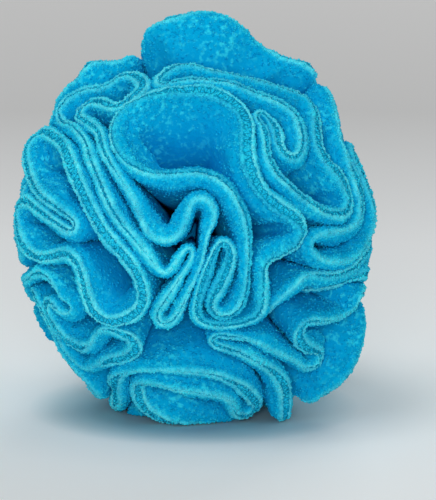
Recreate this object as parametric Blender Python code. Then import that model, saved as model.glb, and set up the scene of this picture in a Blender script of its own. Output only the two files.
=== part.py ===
"""Snuffle ball: thick fleece circles, each drawn in at its middle and tacked to a small stuffed core,
with their rims bunched into one ball of folds.

The ball is described in a front frame: x to the right, depth away from the viewer, up. That frame is
tipped forward by FRONT_TIP_DEG, so the front folds face the way they are best seen. All lengths come
from BALL_RADIUS and the sizes below it, so the whole toy can be scaled by scaling those lengths.
"""
import math

import bmesh
import bpy
import numpy as np
from mathutils import Vector
from mathutils.bvhtree import BVHTree
from mathutils.geometry import delaunay_2d_cdt

# Driving sizes, in metres.
BALL_RADIUS = 0.075
FLEECE_THICK = 0.0075
MIDDLE_THICK = 0.0026
PIECE_GAP = 0.0003
RIM_GAP = 0.0007
CORE_RADIUS = 0.0125
CORE_COVER_THICK = 0.0012
CORE_SEAM_HALF_GAP = 0.0009
SEAM_THREAD_RADIUS = 0.0005
KNOT_RADIUS = 0.0016

# How much of the room beside a rim its cloth may take, and how that room is looked for.
facing_share = 0.35
far_side_share = 1.45
bend_room_share = 0.42
miter_limit_share = 1.3
far_share = 9.0
tie_gap_share = 1.5

# Shares of the ball radius.
foot_share = 0.30
floor_share = 1.0
rim_step_share = 0.172
turn_step_share = 0.16
dense_step_share = 0.012
rounding_share = 0.022

# Angles and counts.
FRONT_TIP_DEG = 12.0
FRONT_LIMIT_DEG = 75.0
SWIRL_DEG = 9.0
SWIRL_WAVES = 3
REAR_SPAN_DEG = 45.0
FLAT_PATCH_DEG = 22.0
BULGE_END_DEG = 42.0
ROSETTE_ANGLES = 40
CORE_SIDES = 16
CORE_RINGS = 4
KNOT_SIDES = 6
THREAD_SIDES = 5
KNOT_TRIES = 60
SPOT_GRID = 40
EDGE_STEPS = 6
RIM_LEAST = 12
TINY = 1.0e-7

# A direction that no rim's middle points in.
ASIDE = (0.31, 0.17, 0.93)

# How far along a fold leg its points stand, from its near end to its far end.
leg_shares = (0.06, 0.30, 0.55, 0.80, 0.95)
knot_profile_shares = ((0.0, -1.0), (0.86, -0.5), (0.86, 0.5), (0.0, 1.0))

# Rims. A pair is (across, up) on the front of the ball. A triple is (clock angle, angle from the view
# axis, radius): clock 0 is to the right, 90 up, and 90 from the view axis is the outline of the ball.
pocket_rim_shares = (
    (-0.42, 0.55), (-0.40, 0.62), (-0.34, 0.675), (-0.25, 0.725), (-0.14, 0.765), (-0.02, 0.785),
    (0.10, 0.78), (0.205, 0.74), (0.28, 0.67), (0.31, 0.58), (0.305, 0.48), (0.31, 0.40),
    (0.34, 0.31), (0.395, 0.22), (0.475, 0.15), (0.55, 0.095), (0.59, 0.04), (0.59, -0.02),
    (0.55, -0.06), (0.475, -0.095), (0.405, -0.125), (0.365, -0.17), (0.365, -0.25), (0.38, -0.33),
    (0.39, -0.41), (0.37, -0.46), (0.32, -0.495), (0.24, -0.515), (0.14, -0.52), (0.05, -0.50),
    (0.01, -0.45), (0.02, -0.36), (0.05, -0.27), (0.085, -0.18), (0.12, -0.10), (0.165, -0.05),
    (0.205, -0.11), (0.19, -0.21), (0.145, -0.31), (0.105, -0.39), (0.13, -0.445), (0.19, -0.45),
    (0.245, -0.41), (0.275, -0.33), (0.29, -0.22), (0.29, -0.10), (0.275, 0.02), (0.24, 0.12),
    (0.19, 0.205), (0.125, 0.265), (0.045, 0.295), (-0.06, 0.295), (-0.17, 0.29), (-0.27, 0.305),
    (-0.35, 0.36), (-0.40, 0.45))
s_fold_rim_shares = (
    (-0.73, 0.595), (-0.66, 0.565), (-0.60, 0.50), (-0.565, 0.40), (-0.52, 0.28), (-0.46, 0.15),
    (-0.39, 0.03), (-0.31, -0.07), (-0.24, -0.16), (-0.19, -0.22), (-0.145, -0.24), (-0.10, -0.20),
    (-0.065, -0.145), (-0.038, -0.093), (-0.010, -0.082), (0.003, -0.112), (-0.014, -0.17), (-0.06, -0.243),
    (-0.115, -0.32), (-0.165, -0.39), (-0.20, -0.445), (-0.20, -0.495), (-0.155, -0.52), (-0.105, -0.495),
    (-0.07, -0.43), (-0.04, -0.355), (-0.005, -0.28), (0.025, -0.21), (0.047, -0.14), (0.06, -0.07),
    (0.075, 0.0), (0.10, 0.065), (0.10, 0.13), (0.05, 0.18), (-0.01, 0.16), (-0.05, 0.08),
    (-0.09, 0.0), (-0.15, -0.03), (-0.22, 0.0), (-0.27, 0.08), (-0.31, 0.18), (-0.38, 0.29),
    (-0.44, 0.375), (-0.49, 0.46), (-0.53, 0.56), (-0.60, 0.615), (-0.645, 0.65), (-0.625, 0.695),
    (-0.583, 0.728), (-0.539, 0.728), (-0.494, 0.717), (-0.455, 0.694), (-0.411, 0.694), (-0.367, 0.725),
    (-0.322, 0.764), (-0.289, 0.806), (-0.283, 0.844), (-0.317, 0.878), (-0.372, 0.889),
    (-0.422, 0.872), (-0.461, 0.839), (-0.50, 0.813), (-0.55, 0.806), (-0.611, 0.797), (-0.67, 0.77),
    (-0.72, 0.73), (-0.755, 0.66))
tongue_rim_shares = (
    (-0.89, 0.49), (-0.83, 0.535), (-0.76, 0.53), (-0.70, 0.47), (-0.665, 0.37), (-0.625, 0.26),
    (-0.575, 0.15), (-0.51, 0.04), (-0.44, -0.05), (-0.37, -0.13), (-0.31, -0.21), (-0.275, -0.29),
    (-0.265, -0.37), (-0.30, -0.44), (-0.38, -0.485), (-0.47, -0.49), (-0.545, -0.44), (-0.59, -0.36),
    (-0.615, -0.26), (-0.645, -0.17), (-0.70, -0.13), (-0.77, -0.14), (-0.85, -0.15), (-0.91, -0.11),
    (-0.945, -0.03), (-0.965, 0.06), (-0.955, 0.14), (-0.92, 0.17), (-0.86, 0.13), (-0.79, 0.07),
    (-0.72, 0.02), (-0.665, 0.0), (-0.64, 0.04), (-0.68, 0.09), (-0.76, 0.15), (-0.84, 0.22),
    (-0.89, 0.30), (-0.91, 0.40))
corner_rim_shares = (
    (-0.18, 0.82), (-0.16, 0.88), (-0.04, 0.92), (0.06, 0.895), (0.2, 0.865), (0.37, 0.83),
    (0.52, 0.79), (0.63, 0.745), (0.68, 0.67), (0.69, 0.57), (0.70, 0.47), (0.745, 0.39),
    (0.80, 0.32), (0.85, 0.24), (0.875, 0.16), (0.85, 0.10), (0.78, 0.085), (0.70, 0.115),
    (0.61, 0.17), (0.52, 0.245), (0.45, 0.31), (0.41, 0.39), (0.405, 0.49), (0.385, 0.58),
    (0.355, 0.65), (0.385, 0.67), (0.43, 0.62), (0.465, 0.54), (0.48, 0.46), (0.53, 0.405),
    (0.585, 0.41), (0.615, 0.48), (0.605, 0.57), (0.57, 0.66), (0.48, 0.72), (0.36, 0.76),
    (0.24, 0.80), (0.10, 0.83), (-0.03, 0.84), (-0.12, 0.83))
flap_front_shares = (
    (103.5, 90, 1.02), (102, 87, 1.15), (97, 85, 1.20), (90, 85, 1.22), (85, 85, 1.215),
    (80, 86, 1.185), (74.5, 87, 1.14), (67.5, 88, 1.10), (60.5, 88, 1.105), (55, 88, 1.13),
    (52.5, 92, 1.07))
upper_left_front_shares = (
    (146, 88, 0.985), (140.5, 87, 1.02), (136, 87, 1.065), (130.5, 87, 1.075), (127, 87, 1.075),
    (124, 87, 1.09), (121.8, 87, 1.10), (118, 88, 1.07), (114.5, 88, 1.035), (111, 89, 1.03))
left_front_shares = (
    (189, 89, 0.96), (183, 87, 0.975), (176, 86, 0.985), (169, 86, 0.98), (162, 87, 0.975),
    (155, 88, 0.97))
right_front_shares = (
    (48, 84, 1.09), (44, 80, 1.075), (39, 76, 1.04), (0.80, 0.53), (0.835, 0.44), (0.875, 0.35),
    (0.91, 0.25), (0.925, 0.15), (0.915, 0.06), (0.86, -0.005), (0.77, -0.015), (0.69, -0.02),
    (0.645, -0.055), (0.65, -0.12), (0.70, -0.165), (0.79, -0.175), (0.875, -0.145), (0.93, -0.08),
    (0.965, 0.0), (7, 77, 1.02), (15, 78, 1.01), (23, 79, 1.0), (28, 83, 1.0), (24, 88, 1.0),
    (16, 89, 1.0))
wedge_front_shares = (
    (0.955, -0.235), (-19.3, 69.7, 0.93), (-25.1, 62.1, 0.84), (-31, 54.7, 0.77), (-35.3, 49.2, 0.76),
    (-40.5, 46.8, 0.79), (-44.8, 45.4, 0.85), (-45.8, 42.5, 0.90), (-43, 40.0, 0.94), (-38, 39.0, 0.97),
    (-32, 39.6, 0.99), (0.592, -0.292), (0.62, -0.262), (0.665, -0.255), (0.735, -0.26), (0.81, -0.25),
    (0.89, -0.205), (0.945, -0.135), (-5.5, 79, 1.01), (-2, 84, 1.0), (2, 86, 1.0))
lower_right_front_shares = (
    (0.945, -0.35), (0.91, -0.41), (0.86, -0.45), (0.78, -0.475), (0.70, -0.48), (0.63, -0.49),
    (0.59, -0.535), (0.60, -0.59), (0.65, -0.635), (0.70, -0.675), (0.70, -0.725), (0.64, -0.745),
    (0.56, -0.71), (0.47, -0.655), (0.38, -0.605), (0.28, -0.575), (0.19, -0.57), (0.12, -0.575),
    (0.10, -0.605), (0.17, -0.635), (0.26, -0.665), (0.35, -0.71), (0.44, -0.775), (-59.5, 70, 1.05),
    (-61, 76, 1.10), (-63.5, 82, 1.18), (-61.2, 87, 1.13), (-58.3, 86, 1.05), (-55.6, 86, 1.15),
    (-52, 87, 1.155), (-49, 87, 1.165), (-43.3, 87, 1.18), (-37, 87, 1.15), (-30, 87, 1.09),
    (-25.5, 89, 1.03),
    (-27, 95, 1.0), (-34, 97, 1.0), (-41, 97, 1.0), (-48, 97, 1.0), (-55, 96, 1.0), (-61, 94, 1.05))
bottom_front_shares = (
    (-0.43, -0.83), (-0.40, -0.775), (-0.31, -0.75), (-0.18, -0.75), (-0.05, -0.77), (0.08, -0.80),
    (0.20, -0.83), (0.29, -0.865), (290, 76, 1.03), (288, 80, 1.05), (284, 77, 1.03), (0.19, -0.91),
    (0.05, -0.885), (-0.10, -0.865), (-0.23, -0.845), (-0.31, -0.865), (-0.28, -0.925),
    (258, 77, 1.05), (264, 77, 1.07), (271, 77, 1.07), (278, 81, 1.08), (281, 86, 1.08))
lower_left_front_shares = (
    (197, 83, 0.985), (-0.90, -0.26), (-0.86, -0.22), (-0.80, -0.24), (-0.76, -0.30), (-0.725, -0.36),
    (-0.67, -0.395), (-0.655, -0.43), (-0.70, -0.455), (-0.745, -0.42), (-0.79, -0.38),
    (-0.805, -0.42), (-0.765, -0.51), (-0.695, -0.595), (-0.615, -0.64), (-0.55, -0.625),
    (-0.515, -0.56), (-0.465, -0.53), (-0.40, -0.55), (-0.34, -0.58), (-0.325, -0.64), (-0.38, -0.69),
    (-0.46, -0.715), (-0.54, -0.745), (-0.61, -0.75), (-0.67, -0.70), (-0.735, -0.61), (-0.79, -0.51),
    (-0.84, -0.41), (-0.875, -0.34), (201, 76, 0.98), (207, 81, 0.96), (215, 82, 0.98),
    (223, 82, 1.0), (231, 82, 1.02), (238, 83, 1.05), (240, 88, 1.05))

# Fold legs behind the outline: (clock angle, near and far angle from the view axis).
FLAP_LEGS = ((53, 98, 128), (60, 100, 130), (67, 103, 131), (74, 101, 128), (81, 99, 131),
             (88, 102, 130), (95, 99, 128), (102, 96, 130))
UPPER_LEFT_LEGS = ((109, 95, 139), (116, 99, 141), (123, 101, 138), (130, 99, 141), (137, 101, 139),
                   (144, 96, 138))
LEFT_LEGS = ((152, 95, 138), (159, 99, 139), (166, 100, 141), (173, 98, 138), (180, 101, 140),
             (187, 97, 139))
RIGHT_LEGS = ((11.5, 95, 130), (18.5, 98, 129), (25.5, 97, 131), (32.5, 98, 130), (39.5, 96, 129),
              (46, 92, 131))
WEDGE_LEGS = ((5, 91, 138), (-1.5, 97, 140), (-8, 95, 138), (-14, 84, 136))
LOWER_RIGHT_LEGS = ((-66, 100, 126), (-59, 104, 127), (-52, 105, 125), (-45, 104, 127),
                    (-38, 105, 126), (-31, 103, 125), (-24.5, 104, 127), (-19.5, 84, 128))
BOTTOM_LEGS = ((281, 92, 128), (274, 90, 127), (267, 89, 129), (260, 90, 128), (253, 88, 127),
               (246, 77, 128))
LOWER_LEFT_LEGS = ((239, 94, 127), (232, 93, 128), (225, 94, 126), (218, 99, 128), (211, 103, 127),
                   (203, 101, 126))

# Rosettes fill the room left at the back: (clock angle, angle from the view axis, folds, turn of folds).
ROSETTES = ((92, 158, 5, 20.0), (215, 155, 5, 65.0), (330, 156, 5, 110.0))
rosette_start_share = 0.10
rosette_valley_share = 0.13
rosette_reach_share = 0.75
rosette_step_share = 0.012
rosette_wander_share = 0.35
rosette_lobe_power = 0.6

FLEECE_RGB = (0.0, 0.40, 0.69)
COVER_RGB = (0.0, 0.33, 0.60)
FILLING_RGB = (0.85, 0.85, 0.82)
THREAD_RGB = (0.0, 0.30, 0.42)


def front_direction(clock, polar):
    """Unit direction in the front frame for a clock angle and an angle from the view axis."""
    turn = math.radians(clock)
    lean = math.radians(polar)
    return np.array([math.sin(lean) * math.cos(turn), -math.cos(lean), math.sin(lean) * math.sin(turn)])


def rim_point(row):
    """One rim point, in shares of the ball radius, in the front frame."""
    if len(row) == 2:
        reach = math.hypot(row[0], row[1])
        limit = math.sin(math.radians(FRONT_LIMIT_DEG))
        polar = math.degrees(math.asin(min(reach, limit)))
        clock = math.degrees(math.atan2(row[1], row[0]))
        radius = max(1.0, reach / limit)
    else:
        clock, polar, radius = row
        behind = max(0.0, polar - 90.0) / REAR_SPAN_DEG
        clock += SWIRL_DEG * behind * math.sin(math.radians(SWIRL_WAVES * clock))
    return front_direction(clock, polar) * radius


def leg_rows(table):
    """Rim rows of folds that run out and back by turns, one leg to each row of the table."""
    rows = []
    for order, (clock, near, far) in enumerate(table):
        run = [(clock, near + share * (far - near), 1.0) for share in leg_shares]
        rows += run if order % 2 == 0 else run[::-1]
    return rows


def smooth_loop(points):
    """Closed smooth curve through the points, in short even steps."""
    corners = np.array(points)
    count = len(corners)
    curve = []
    for index in range(count):
        p0, p1, p2, p3 = (corners[(index + k) % count] for k in (-1, 0, 1, 2))
        knots = [0.0]
        for start, end in ((p0, p1), (p1, p2), (p2, p3)):
            knots.append(knots[-1] + math.sqrt(max(np.linalg.norm(end - start), dense_step_share ** 2)))
        steps = max(2, math.ceil(np.linalg.norm(p2 - p1) / dense_step_share))
        for step in range(steps):
            t = knots[1] + (knots[2] - knots[1]) * step / steps
            a1 = blend(p0, p1, knots[0], knots[1], t)
            a2 = blend(p1, p2, knots[1], knots[2], t)
            a3 = blend(p2, p3, knots[2], knots[3], t)
            b1 = blend(a1, a2, knots[0], knots[2], t)
            b2 = blend(a2, a3, knots[1], knots[3], t)
            curve.append(blend(b1, b2, knots[1], knots[2], t))
    return round_off(np.array(curve))


def round_off(curve):
    """The curve in even steps, with its tightest turns rounded."""
    closed = np.vstack([curve, curve[:1]])
    run = np.concatenate(([0.0], np.cumsum(np.linalg.norm(np.diff(closed, axis=0), axis=1))))
    count = math.ceil(run[-1] / dense_step_share)
    wanted = np.arange(count) * run[-1] / count
    even = np.column_stack([np.interp(wanted, run, closed[:, axis]) for axis in range(3)])
    span = math.ceil(3.0 * rounding_share / dense_step_share)
    shifts = range(-span, span + 1)
    weights = [math.exp(-0.5 * (shift * dense_step_share / rounding_share) ** 2) for shift in shifts]
    smooth = sum(weight * np.roll(even, shift, axis=0) for weight, shift in zip(weights, shifts))
    return smooth / sum(weights)


def blend(start, end, t_start, t_end, t):
    """Value at t on the straight run from start at t_start to end at t_end."""
    part = (t - t_start) / (t_end - t_start)
    return start * (1.0 - part) + end * part


def unit(rows):
    """Rows scaled to length one."""
    return rows / np.linalg.norm(rows, axis=1)[:, None]


def thin_out(curve):
    """Fewer points: steps are shorter where the rim turns sharply."""
    ways = unit(curve)
    ahead = unit(np.roll(ways, -1, axis=0) - ways)
    behind = np.roll(ahead, 1, axis=0)
    turning = np.arccos(np.clip((ahead * behind).sum(axis=1), -1.0, 1.0))
    stride = np.linalg.norm(np.roll(ways, -1, axis=0) - ways, axis=1)
    weight = stride + turn_step_share * 0.5 * (turning + np.roll(turning, -1))
    run = np.concatenate(([0.0], np.cumsum(weight)))
    count = max(RIM_LEAST, round(run[-1] / rim_step_share))
    wanted = np.arange(count) * run[-1] / count
    closed = np.vstack([curve, curve[:1]])
    return np.column_stack([np.interp(wanted, run, closed[:, axis]) for axis in range(3)])


def side_frames(ways):
    """Sideways unit vectors, miter lengthening and turning at each rim point."""
    ahead = unit(np.roll(ways, -1, axis=0) - ways)
    behind = np.roll(ahead, 1, axis=0)
    along = unit(ahead + behind)
    side = unit(np.cross(ways, along))
    half_turn = 0.5 * np.arccos(np.clip((ahead * behind).sum(axis=1), -1.0, 1.0))
    sign = np.sign((np.cross(behind, ahead) * ways).sum(axis=1))
    return side, 1.0 / np.cos(half_turn), half_turn * sign


def polygon_points(ways):
    """Points along the straight edges of a rim polygon, with their distance along the rim."""
    following = np.roll(ways, -1, axis=0)
    stride = np.linalg.norm(following - ways, axis=1)
    start = np.concatenate(([0.0], np.cumsum(stride)))[:-1]
    points = []
    places = []
    for step in range(EDGE_STEPS):
        part = step / EDGE_STEPS
        points.append(ways * (1.0 - part) + following * part)
        places.append(start + stride * part)
    return unit(np.vstack(points)), np.concatenate(places), start, stride.sum()


def half_widths(rims, half_nominal, half_gap):
    """Half thickness on both sides of each rim point, narrowed where another stretch is near."""
    shown = [polygon_points(ways) for ways in rims]
    result = []
    for own, ways in enumerate(rims):
        side, miter, turn = side_frames(ways)
        _, _, place, total = shown[own]
        stride = np.linalg.norm(np.roll(ways, -1, axis=0) - ways, axis=1)
        bend = np.minimum(stride, np.roll(stride, 1)) / np.maximum(np.tan(np.abs(turn)), TINY)
        widths = []
        for way in (1.0, -1.0):
            room = np.full(len(ways), half_nominal)
            for other, (points, places, _, _) in enumerate(shown):
                offset = points[None, :, :] - ways[:, None, :]
                distance = np.linalg.norm(offset, axis=2)
                facing = way * (offset * side[:, None, :]).sum(axis=2) > facing_share * distance
                if other == own:
                    apart = np.abs(places[None, :] - place[:, None])
                    apart = np.minimum(apart, total - apart)
                    facing &= apart > far_side_share * distance
                distance = np.where(facing, distance, far_share)
                room = np.minimum(room, distance.min(axis=1) / 2.0 - half_gap)
            inside = np.sign(turn) == way
            room = np.where(inside, np.minimum(room, bend_room_share * bend), room)
            room = np.maximum(room, half_gap)
            low = np.minimum(room, np.minimum(np.roll(room, 1), np.roll(room, -1)))
            widths.append((low + np.roll(low, 1) + np.roll(low, -1)) / 3.0)
        result.append((side, np.minimum(miter, miter_limit_share), widths[0], widths[1]))
    return result


def rosette_points(clock, polar, folds, turn, taken, others):
    """Rim of a rosette that grows from its middle until it nears another rim or a nearer middle."""
    middle = front_direction(clock, polar)
    across = unit(np.cross(middle, np.array([[0.0, 0.0, 1.0]])))[0]
    upward = np.cross(across, middle)
    reach = []
    clearance = (FLEECE_THICK + RIM_GAP) / BALL_RADIUS
    for index in range(ROSETTE_ANGLES):
        angle = 2.0 * math.pi * index / ROSETTE_ANGLES
        heading = across * math.cos(angle) + upward * math.sin(angle)
        far = rosette_start_share
        while far < rosette_reach_share:
            spot = middle * math.cos(far) + heading * math.sin(far)
            own = np.linalg.norm(spot - middle)
            nearer = min(np.linalg.norm(spot - other) for other in others)
            if np.linalg.norm(taken - spot, axis=1).min() < clearance or nearer < own + clearance:
                break
            far += rosette_step_share
        reach.append(far)
    reach = np.array(reach)
    low = np.minimum(reach, np.minimum(np.roll(reach, 1), np.roll(reach, -1)))
    low = (low + np.roll(low, 1) + np.roll(low, -1)) / 3.0
    points = []
    for index in range(ROSETTE_ANGLES):
        angle = 2.0 * math.pi * index / ROSETTE_ANGLES
        wander = rosette_wander_share * math.sin(angle + math.radians(turn))
        lobe = 0.5 + 0.5 * math.cos(folds * (angle + wander) + math.radians(turn))
        far = rosette_valley_share + (low[index] - rosette_valley_share) * lobe ** rosette_lobe_power
        heading = across * math.cos(angle) + upward * math.sin(angle)
        points.append(middle * math.cos(far) + heading * math.sin(far))
    return points


def to_world(point):
    """From the front frame to the world: the view axis is tipped down by FRONT_TIP_DEG."""
    tip = math.radians(FRONT_TIP_DEG)
    x, depth, up = point
    away = depth * math.cos(tip) + up * math.sin(tip)
    return np.array([x, away, up * math.cos(tip) - depth * math.sin(tip)])


def rest_on_floor(way, radius):
    """Radius along a world direction: the ball sags onto a flat patch of floor and bulges beside it."""
    drop = -way[2]
    slope = math.degrees(math.acos(max(-1.0, min(1.0, drop))))
    if slope < FLAT_PATCH_DEG:
        return floor_share / drop
    if slope < BULGE_END_DEG:
        ease = 0.5 + 0.5 * math.cos(math.pi * (slope - FLAT_PATCH_DEG) / (BULGE_END_DEG - FLAT_PATCH_DEG))
        bulge = floor_share / math.cos(math.radians(FLAT_PATCH_DEG)) - floor_share
        radius = max(radius, floor_share + bulge * ease)
        radius = min(radius, floor_share / drop)
    return radius


def add_mesh(name, verts, faces, material):
    """Mesh object with outward normals, standing in the lifted frame."""
    mesh = bpy.data.meshes.new(name)
    mesh.from_pydata([tuple(vert) for vert in verts], [], [tuple(face) for face in faces])
    form = bmesh.new()
    form.from_mesh(mesh)
    bmesh.ops.triangulate(form, faces=form.faces[:])
    bmesh.ops.recalc_face_normals(form, faces=form.faces[:])
    if form.calc_volume(signed=True) < 0.0:
        bmesh.ops.reverse_faces(form, faces=form.faces[:])
    form.to_mesh(mesh)
    form.free()
    mesh.materials.append(material)
    obj = bpy.data.objects.new(name, mesh)
    bpy.context.scene.collection.objects.link(obj)
    return obj


def fabric_material(name, rgb, roughness, sheen):
    """Principled material of one sub-part."""
    material = bpy.data.materials.new(name)
    material.use_nodes = True
    shader = material.node_tree.nodes["Principled BSDF"]
    shader.inputs["Base Color"].default_value = (*rgb, 1.0)
    shader.inputs["Roughness"].default_value = roughness
    shader.inputs["Sheen Weight"].default_value = sheen
    return material


def middle_triangles(ways):
    """Triangles that fill the loop, and the loop's middle point as the last index."""
    centre = unit(ways.mean(axis=0)[None, :])[0]
    across = unit(np.cross(centre, np.array([ASIDE])))[0]
    upward = np.cross(centre, across)
    flat = np.column_stack([ways @ across, ways @ upward]) / (ways @ centre)[:, None]
    tie = deepest_spot(flat)
    coords = [Vector(point) for point in flat] + [Vector(tie)]
    count = len(flat)
    found = delaunay_2d_cdt(coords, [], [list(range(count))], 1, TINY)
    places = [origin[0] for origin in found[3]]
    triangles = [[places[index] for index in face] for face in found[2]]
    tie_way = centre + across * tie[0] + upward * tie[1]
    return triangles, unit(tie_way[None, :])[0]


def deepest_spot(flat):
    """Spot inside a flat outline that lies farthest from its edge, found on an even grid."""
    low = flat.min(axis=0)
    high = flat.max(axis=0)
    ahead = np.roll(flat, -1, axis=0) - flat
    best = None
    for row in range(1, SPOT_GRID):
        for column in range(1, SPOT_GRID):
            spot = low + (high - low) * np.array([column, row]) / SPOT_GRID
            crossing = (flat[:, 1] > spot[1]) != (flat[:, 1] + ahead[:, 1] > spot[1])
            with np.errstate(divide="ignore", invalid="ignore"):
                level = flat[:, 0] + ahead[:, 0] * (spot[1] - flat[:, 1]) / ahead[:, 1]
            if np.count_nonzero(crossing & (level > spot[0])) % 2 == 0:
                continue
            part = ((spot - flat) * ahead).sum(axis=1) / (ahead ** 2).sum(axis=1)
            part = np.clip(part, 0.0, 1.0)[:, None]
            depth = np.linalg.norm(flat + ahead * part - spot, axis=1).min() / (1.0 + spot @ spot)
            if best is None or depth > best[0]:
                best = (depth, spot)
    return best[1]


def add_ruffle(name, curve, frames, material):
    """One fleece circle: a wall under its rim, closed below by its middle, pulled down to the core."""
    side, miter, left, right = frames
    ways = unit(curve)
    radius = np.linalg.norm(curve, axis=1)
    centre = unit(ways.mean(axis=0)[None, :])[0]
    rim_left = unit(ways + side * (left * miter)[:, None])
    rim_right = unit(ways - side * (right * miter)[:, None])
    triangles, tie = middle_triangles(rim_left)
    if spherical_area(rim_left, centre) < spherical_area(rim_right, centre):
        inner, outer = rim_left, rim_right
    else:
        inner, outer = rim_right, rim_left
        triangles, tie = middle_triangles(inner)
    low = foot_share
    high = foot_share + MIDDLE_THICK / BALL_RADIUS
    tie_low = (CORE_RADIUS + PIECE_GAP * tie_gap_share) / BALL_RADIUS
    tie_high = tie_low + MIDDLE_THICK / BALL_RADIUS
    count = len(ways)
    verts = []
    for ring, level in ((outer, None), (outer, low), (inner, low), (inner, high), (inner, None)):
        for index in range(count):
            way = to_world(ring[index])
            reach = level if level else rest_on_floor(way, radius[index])
            verts.append(way * reach)
    verts += [to_world(tie) * tie_low, to_world(tie) * tie_high]
    faces = []
    for ring in (0, 1, 3, 4):
        below = (ring + 1) % 5
        for index in range(count):
            ahead = (index + 1) % count
            faces.append((ring * count + index, ring * count + ahead,
                          below * count + ahead, below * count + index))
    for a, b, c in triangles:
        faces.append([5 * count if k == count else 2 * count + k for k in (a, b, c)])
        faces.append([5 * count + 1 if k == count else 3 * count + k for k in (c, b, a)])
    verts = [(vert + np.array([0.0, 0.0, floor_share])) * BALL_RADIUS for vert in verts]
    obj = add_mesh(name, verts, faces, material)
    return obj, to_world(tie)


def spherical_area(ring, centre):
    """Twice the area of a ring seen from outside its middle."""
    return abs((np.cross(ring, np.roll(ring, -1, axis=0)) @ centre).sum())


def lathe(name, profile, material, closed):
    """Body of revolution about the upright axis through the core, from (radius, height) rows."""
    verts = []
    rings = []
    for reach, height in profile:
        if reach == 0.0:
            rings.append([len(verts)] * CORE_SIDES)
            verts.append((0.0, 0.0, height))
            continue
        rings.append(list(range(len(verts), len(verts) + CORE_SIDES)))
        for index in range(CORE_SIDES):
            angle = 2.0 * math.pi * index / CORE_SIDES
            verts.append((reach * math.cos(angle), reach * math.sin(angle), height))
    pairs = list(zip(rings, rings[1:] + rings[:1])) if closed else list(zip(rings, rings[1:]))
    faces = []
    for lower, upper in pairs:
        for index in range(CORE_SIDES):
            ahead = (index + 1) % CORE_SIDES
            face = [lower[index], lower[ahead], upper[ahead], upper[index]]
            face = [vert for place, vert in enumerate(face) if vert != face[place - 1]]
            if len(face) > 2:
                faces.append(face)
    lift = BALL_RADIUS * floor_share
    verts = [(x, y, z + lift) for x, y, z in verts]
    return add_mesh(name, verts, faces, material)


def add_core(cover, filling, thread):
    """Stuffed core: a ball of filling in two cover halves that a seam thread joins."""
    inside = CORE_RADIUS - CORE_COVER_THICK
    ball = inside - PIECE_GAP
    start = math.asin(CORE_SEAM_HALF_GAP / CORE_RADIUS)
    steps = [start + (0.5 * math.pi - start) * k / CORE_RINGS for k in range(CORE_RINGS)]
    upper = [(math.cos(angle), math.sin(angle)) for angle in steps]
    lower = [(reach, -height) for reach, height in reversed(upper)]
    profile = [(0.0, -1.0)] + lower + upper + [(0.0, 1.0)]
    lathe("core_filling", [(reach * ball, height * ball) for reach, height in profile], filling, False)
    for name, way in (("core_cover_upper", 1.0), ("core_cover_lower", -1.0)):
        half = [(reach, way * height) for reach, height in upper] + [(0.0, way)]
        outer = [(reach * CORE_RADIUS, height * CORE_RADIUS) for reach, height in half]
        inner = [(reach * inside, height * inside) for reach, height in reversed(half)]
        lathe(name, outer + inner, cover, True)
    ring = CORE_RADIUS - 0.5 * CORE_COVER_THICK
    section = []
    for index in range(THREAD_SIDES):
        angle = 2.0 * math.pi * index / THREAD_SIDES
        section.append((ring + SEAM_THREAD_RADIUS * math.cos(angle), SEAM_THREAD_RADIUS * math.sin(angle)))
    lathe("core_seam_thread", section, thread, True)


def add_knot(name, ruffle, tie, material):
    """Thread knot that rests in the pinched middle of one ruffle."""
    form = bmesh.new()
    form.from_mesh(ruffle.data)
    centre = np.array([0.0, 0.0, floor_share * BALL_RADIUS])
    height = CORE_RADIUS + MIDDLE_THICK
    tree = BVHTree.FromBMesh(form)
    for _ in range(KNOT_TRIES):
        spot = centre + tie * height
        found = tree.find_nearest(Vector(spot))
        if found[3] > KNOT_RADIUS + PIECE_GAP:
            break
        height += PIECE_GAP
    form.free()
    across = unit(np.cross(tie, np.array([ASIDE])))[0]
    upward = np.cross(tie, across)
    verts = []
    rings = []
    for reach, level in knot_profile_shares:
        if reach == 0.0:
            rings.append([len(verts)] * KNOT_SIDES)
            verts.append(spot + tie * level * KNOT_RADIUS)
            continue
        rings.append(list(range(len(verts), len(verts) + KNOT_SIDES)))
        for index in range(KNOT_SIDES):
            angle = 2.0 * math.pi * index / KNOT_SIDES
            heading = across * math.cos(angle) + upward * math.sin(angle)
            verts.append(spot + (tie * level + heading * reach) * KNOT_RADIUS)
    faces = []
    for lower, upper in zip(rings, rings[1:]):
        for index in range(KNOT_SIDES):
            ahead = (index + 1) % KNOT_SIDES
            face = [lower[index], lower[ahead], upper[ahead], upper[index]]
            face = [vert for place, vert in enumerate(face) if vert != face[place - 1]]
            faces.append(face)
    return add_mesh(name, verts, faces, material)


def centre_on_origin():
    """Shift every mesh sideways, so that the middle of the whole toy's box stands over the origin."""
    meshes = [obj.data for obj in bpy.data.objects]
    spots = np.array([vert.co for mesh in meshes for vert in mesh.vertices])
    middle = (spots.min(axis=0) + spots.max(axis=0)) / 2.0
    for mesh in meshes:
        for vert in mesh.vertices:
            vert.co -= Vector((middle[0], middle[1], 0.0))


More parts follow.
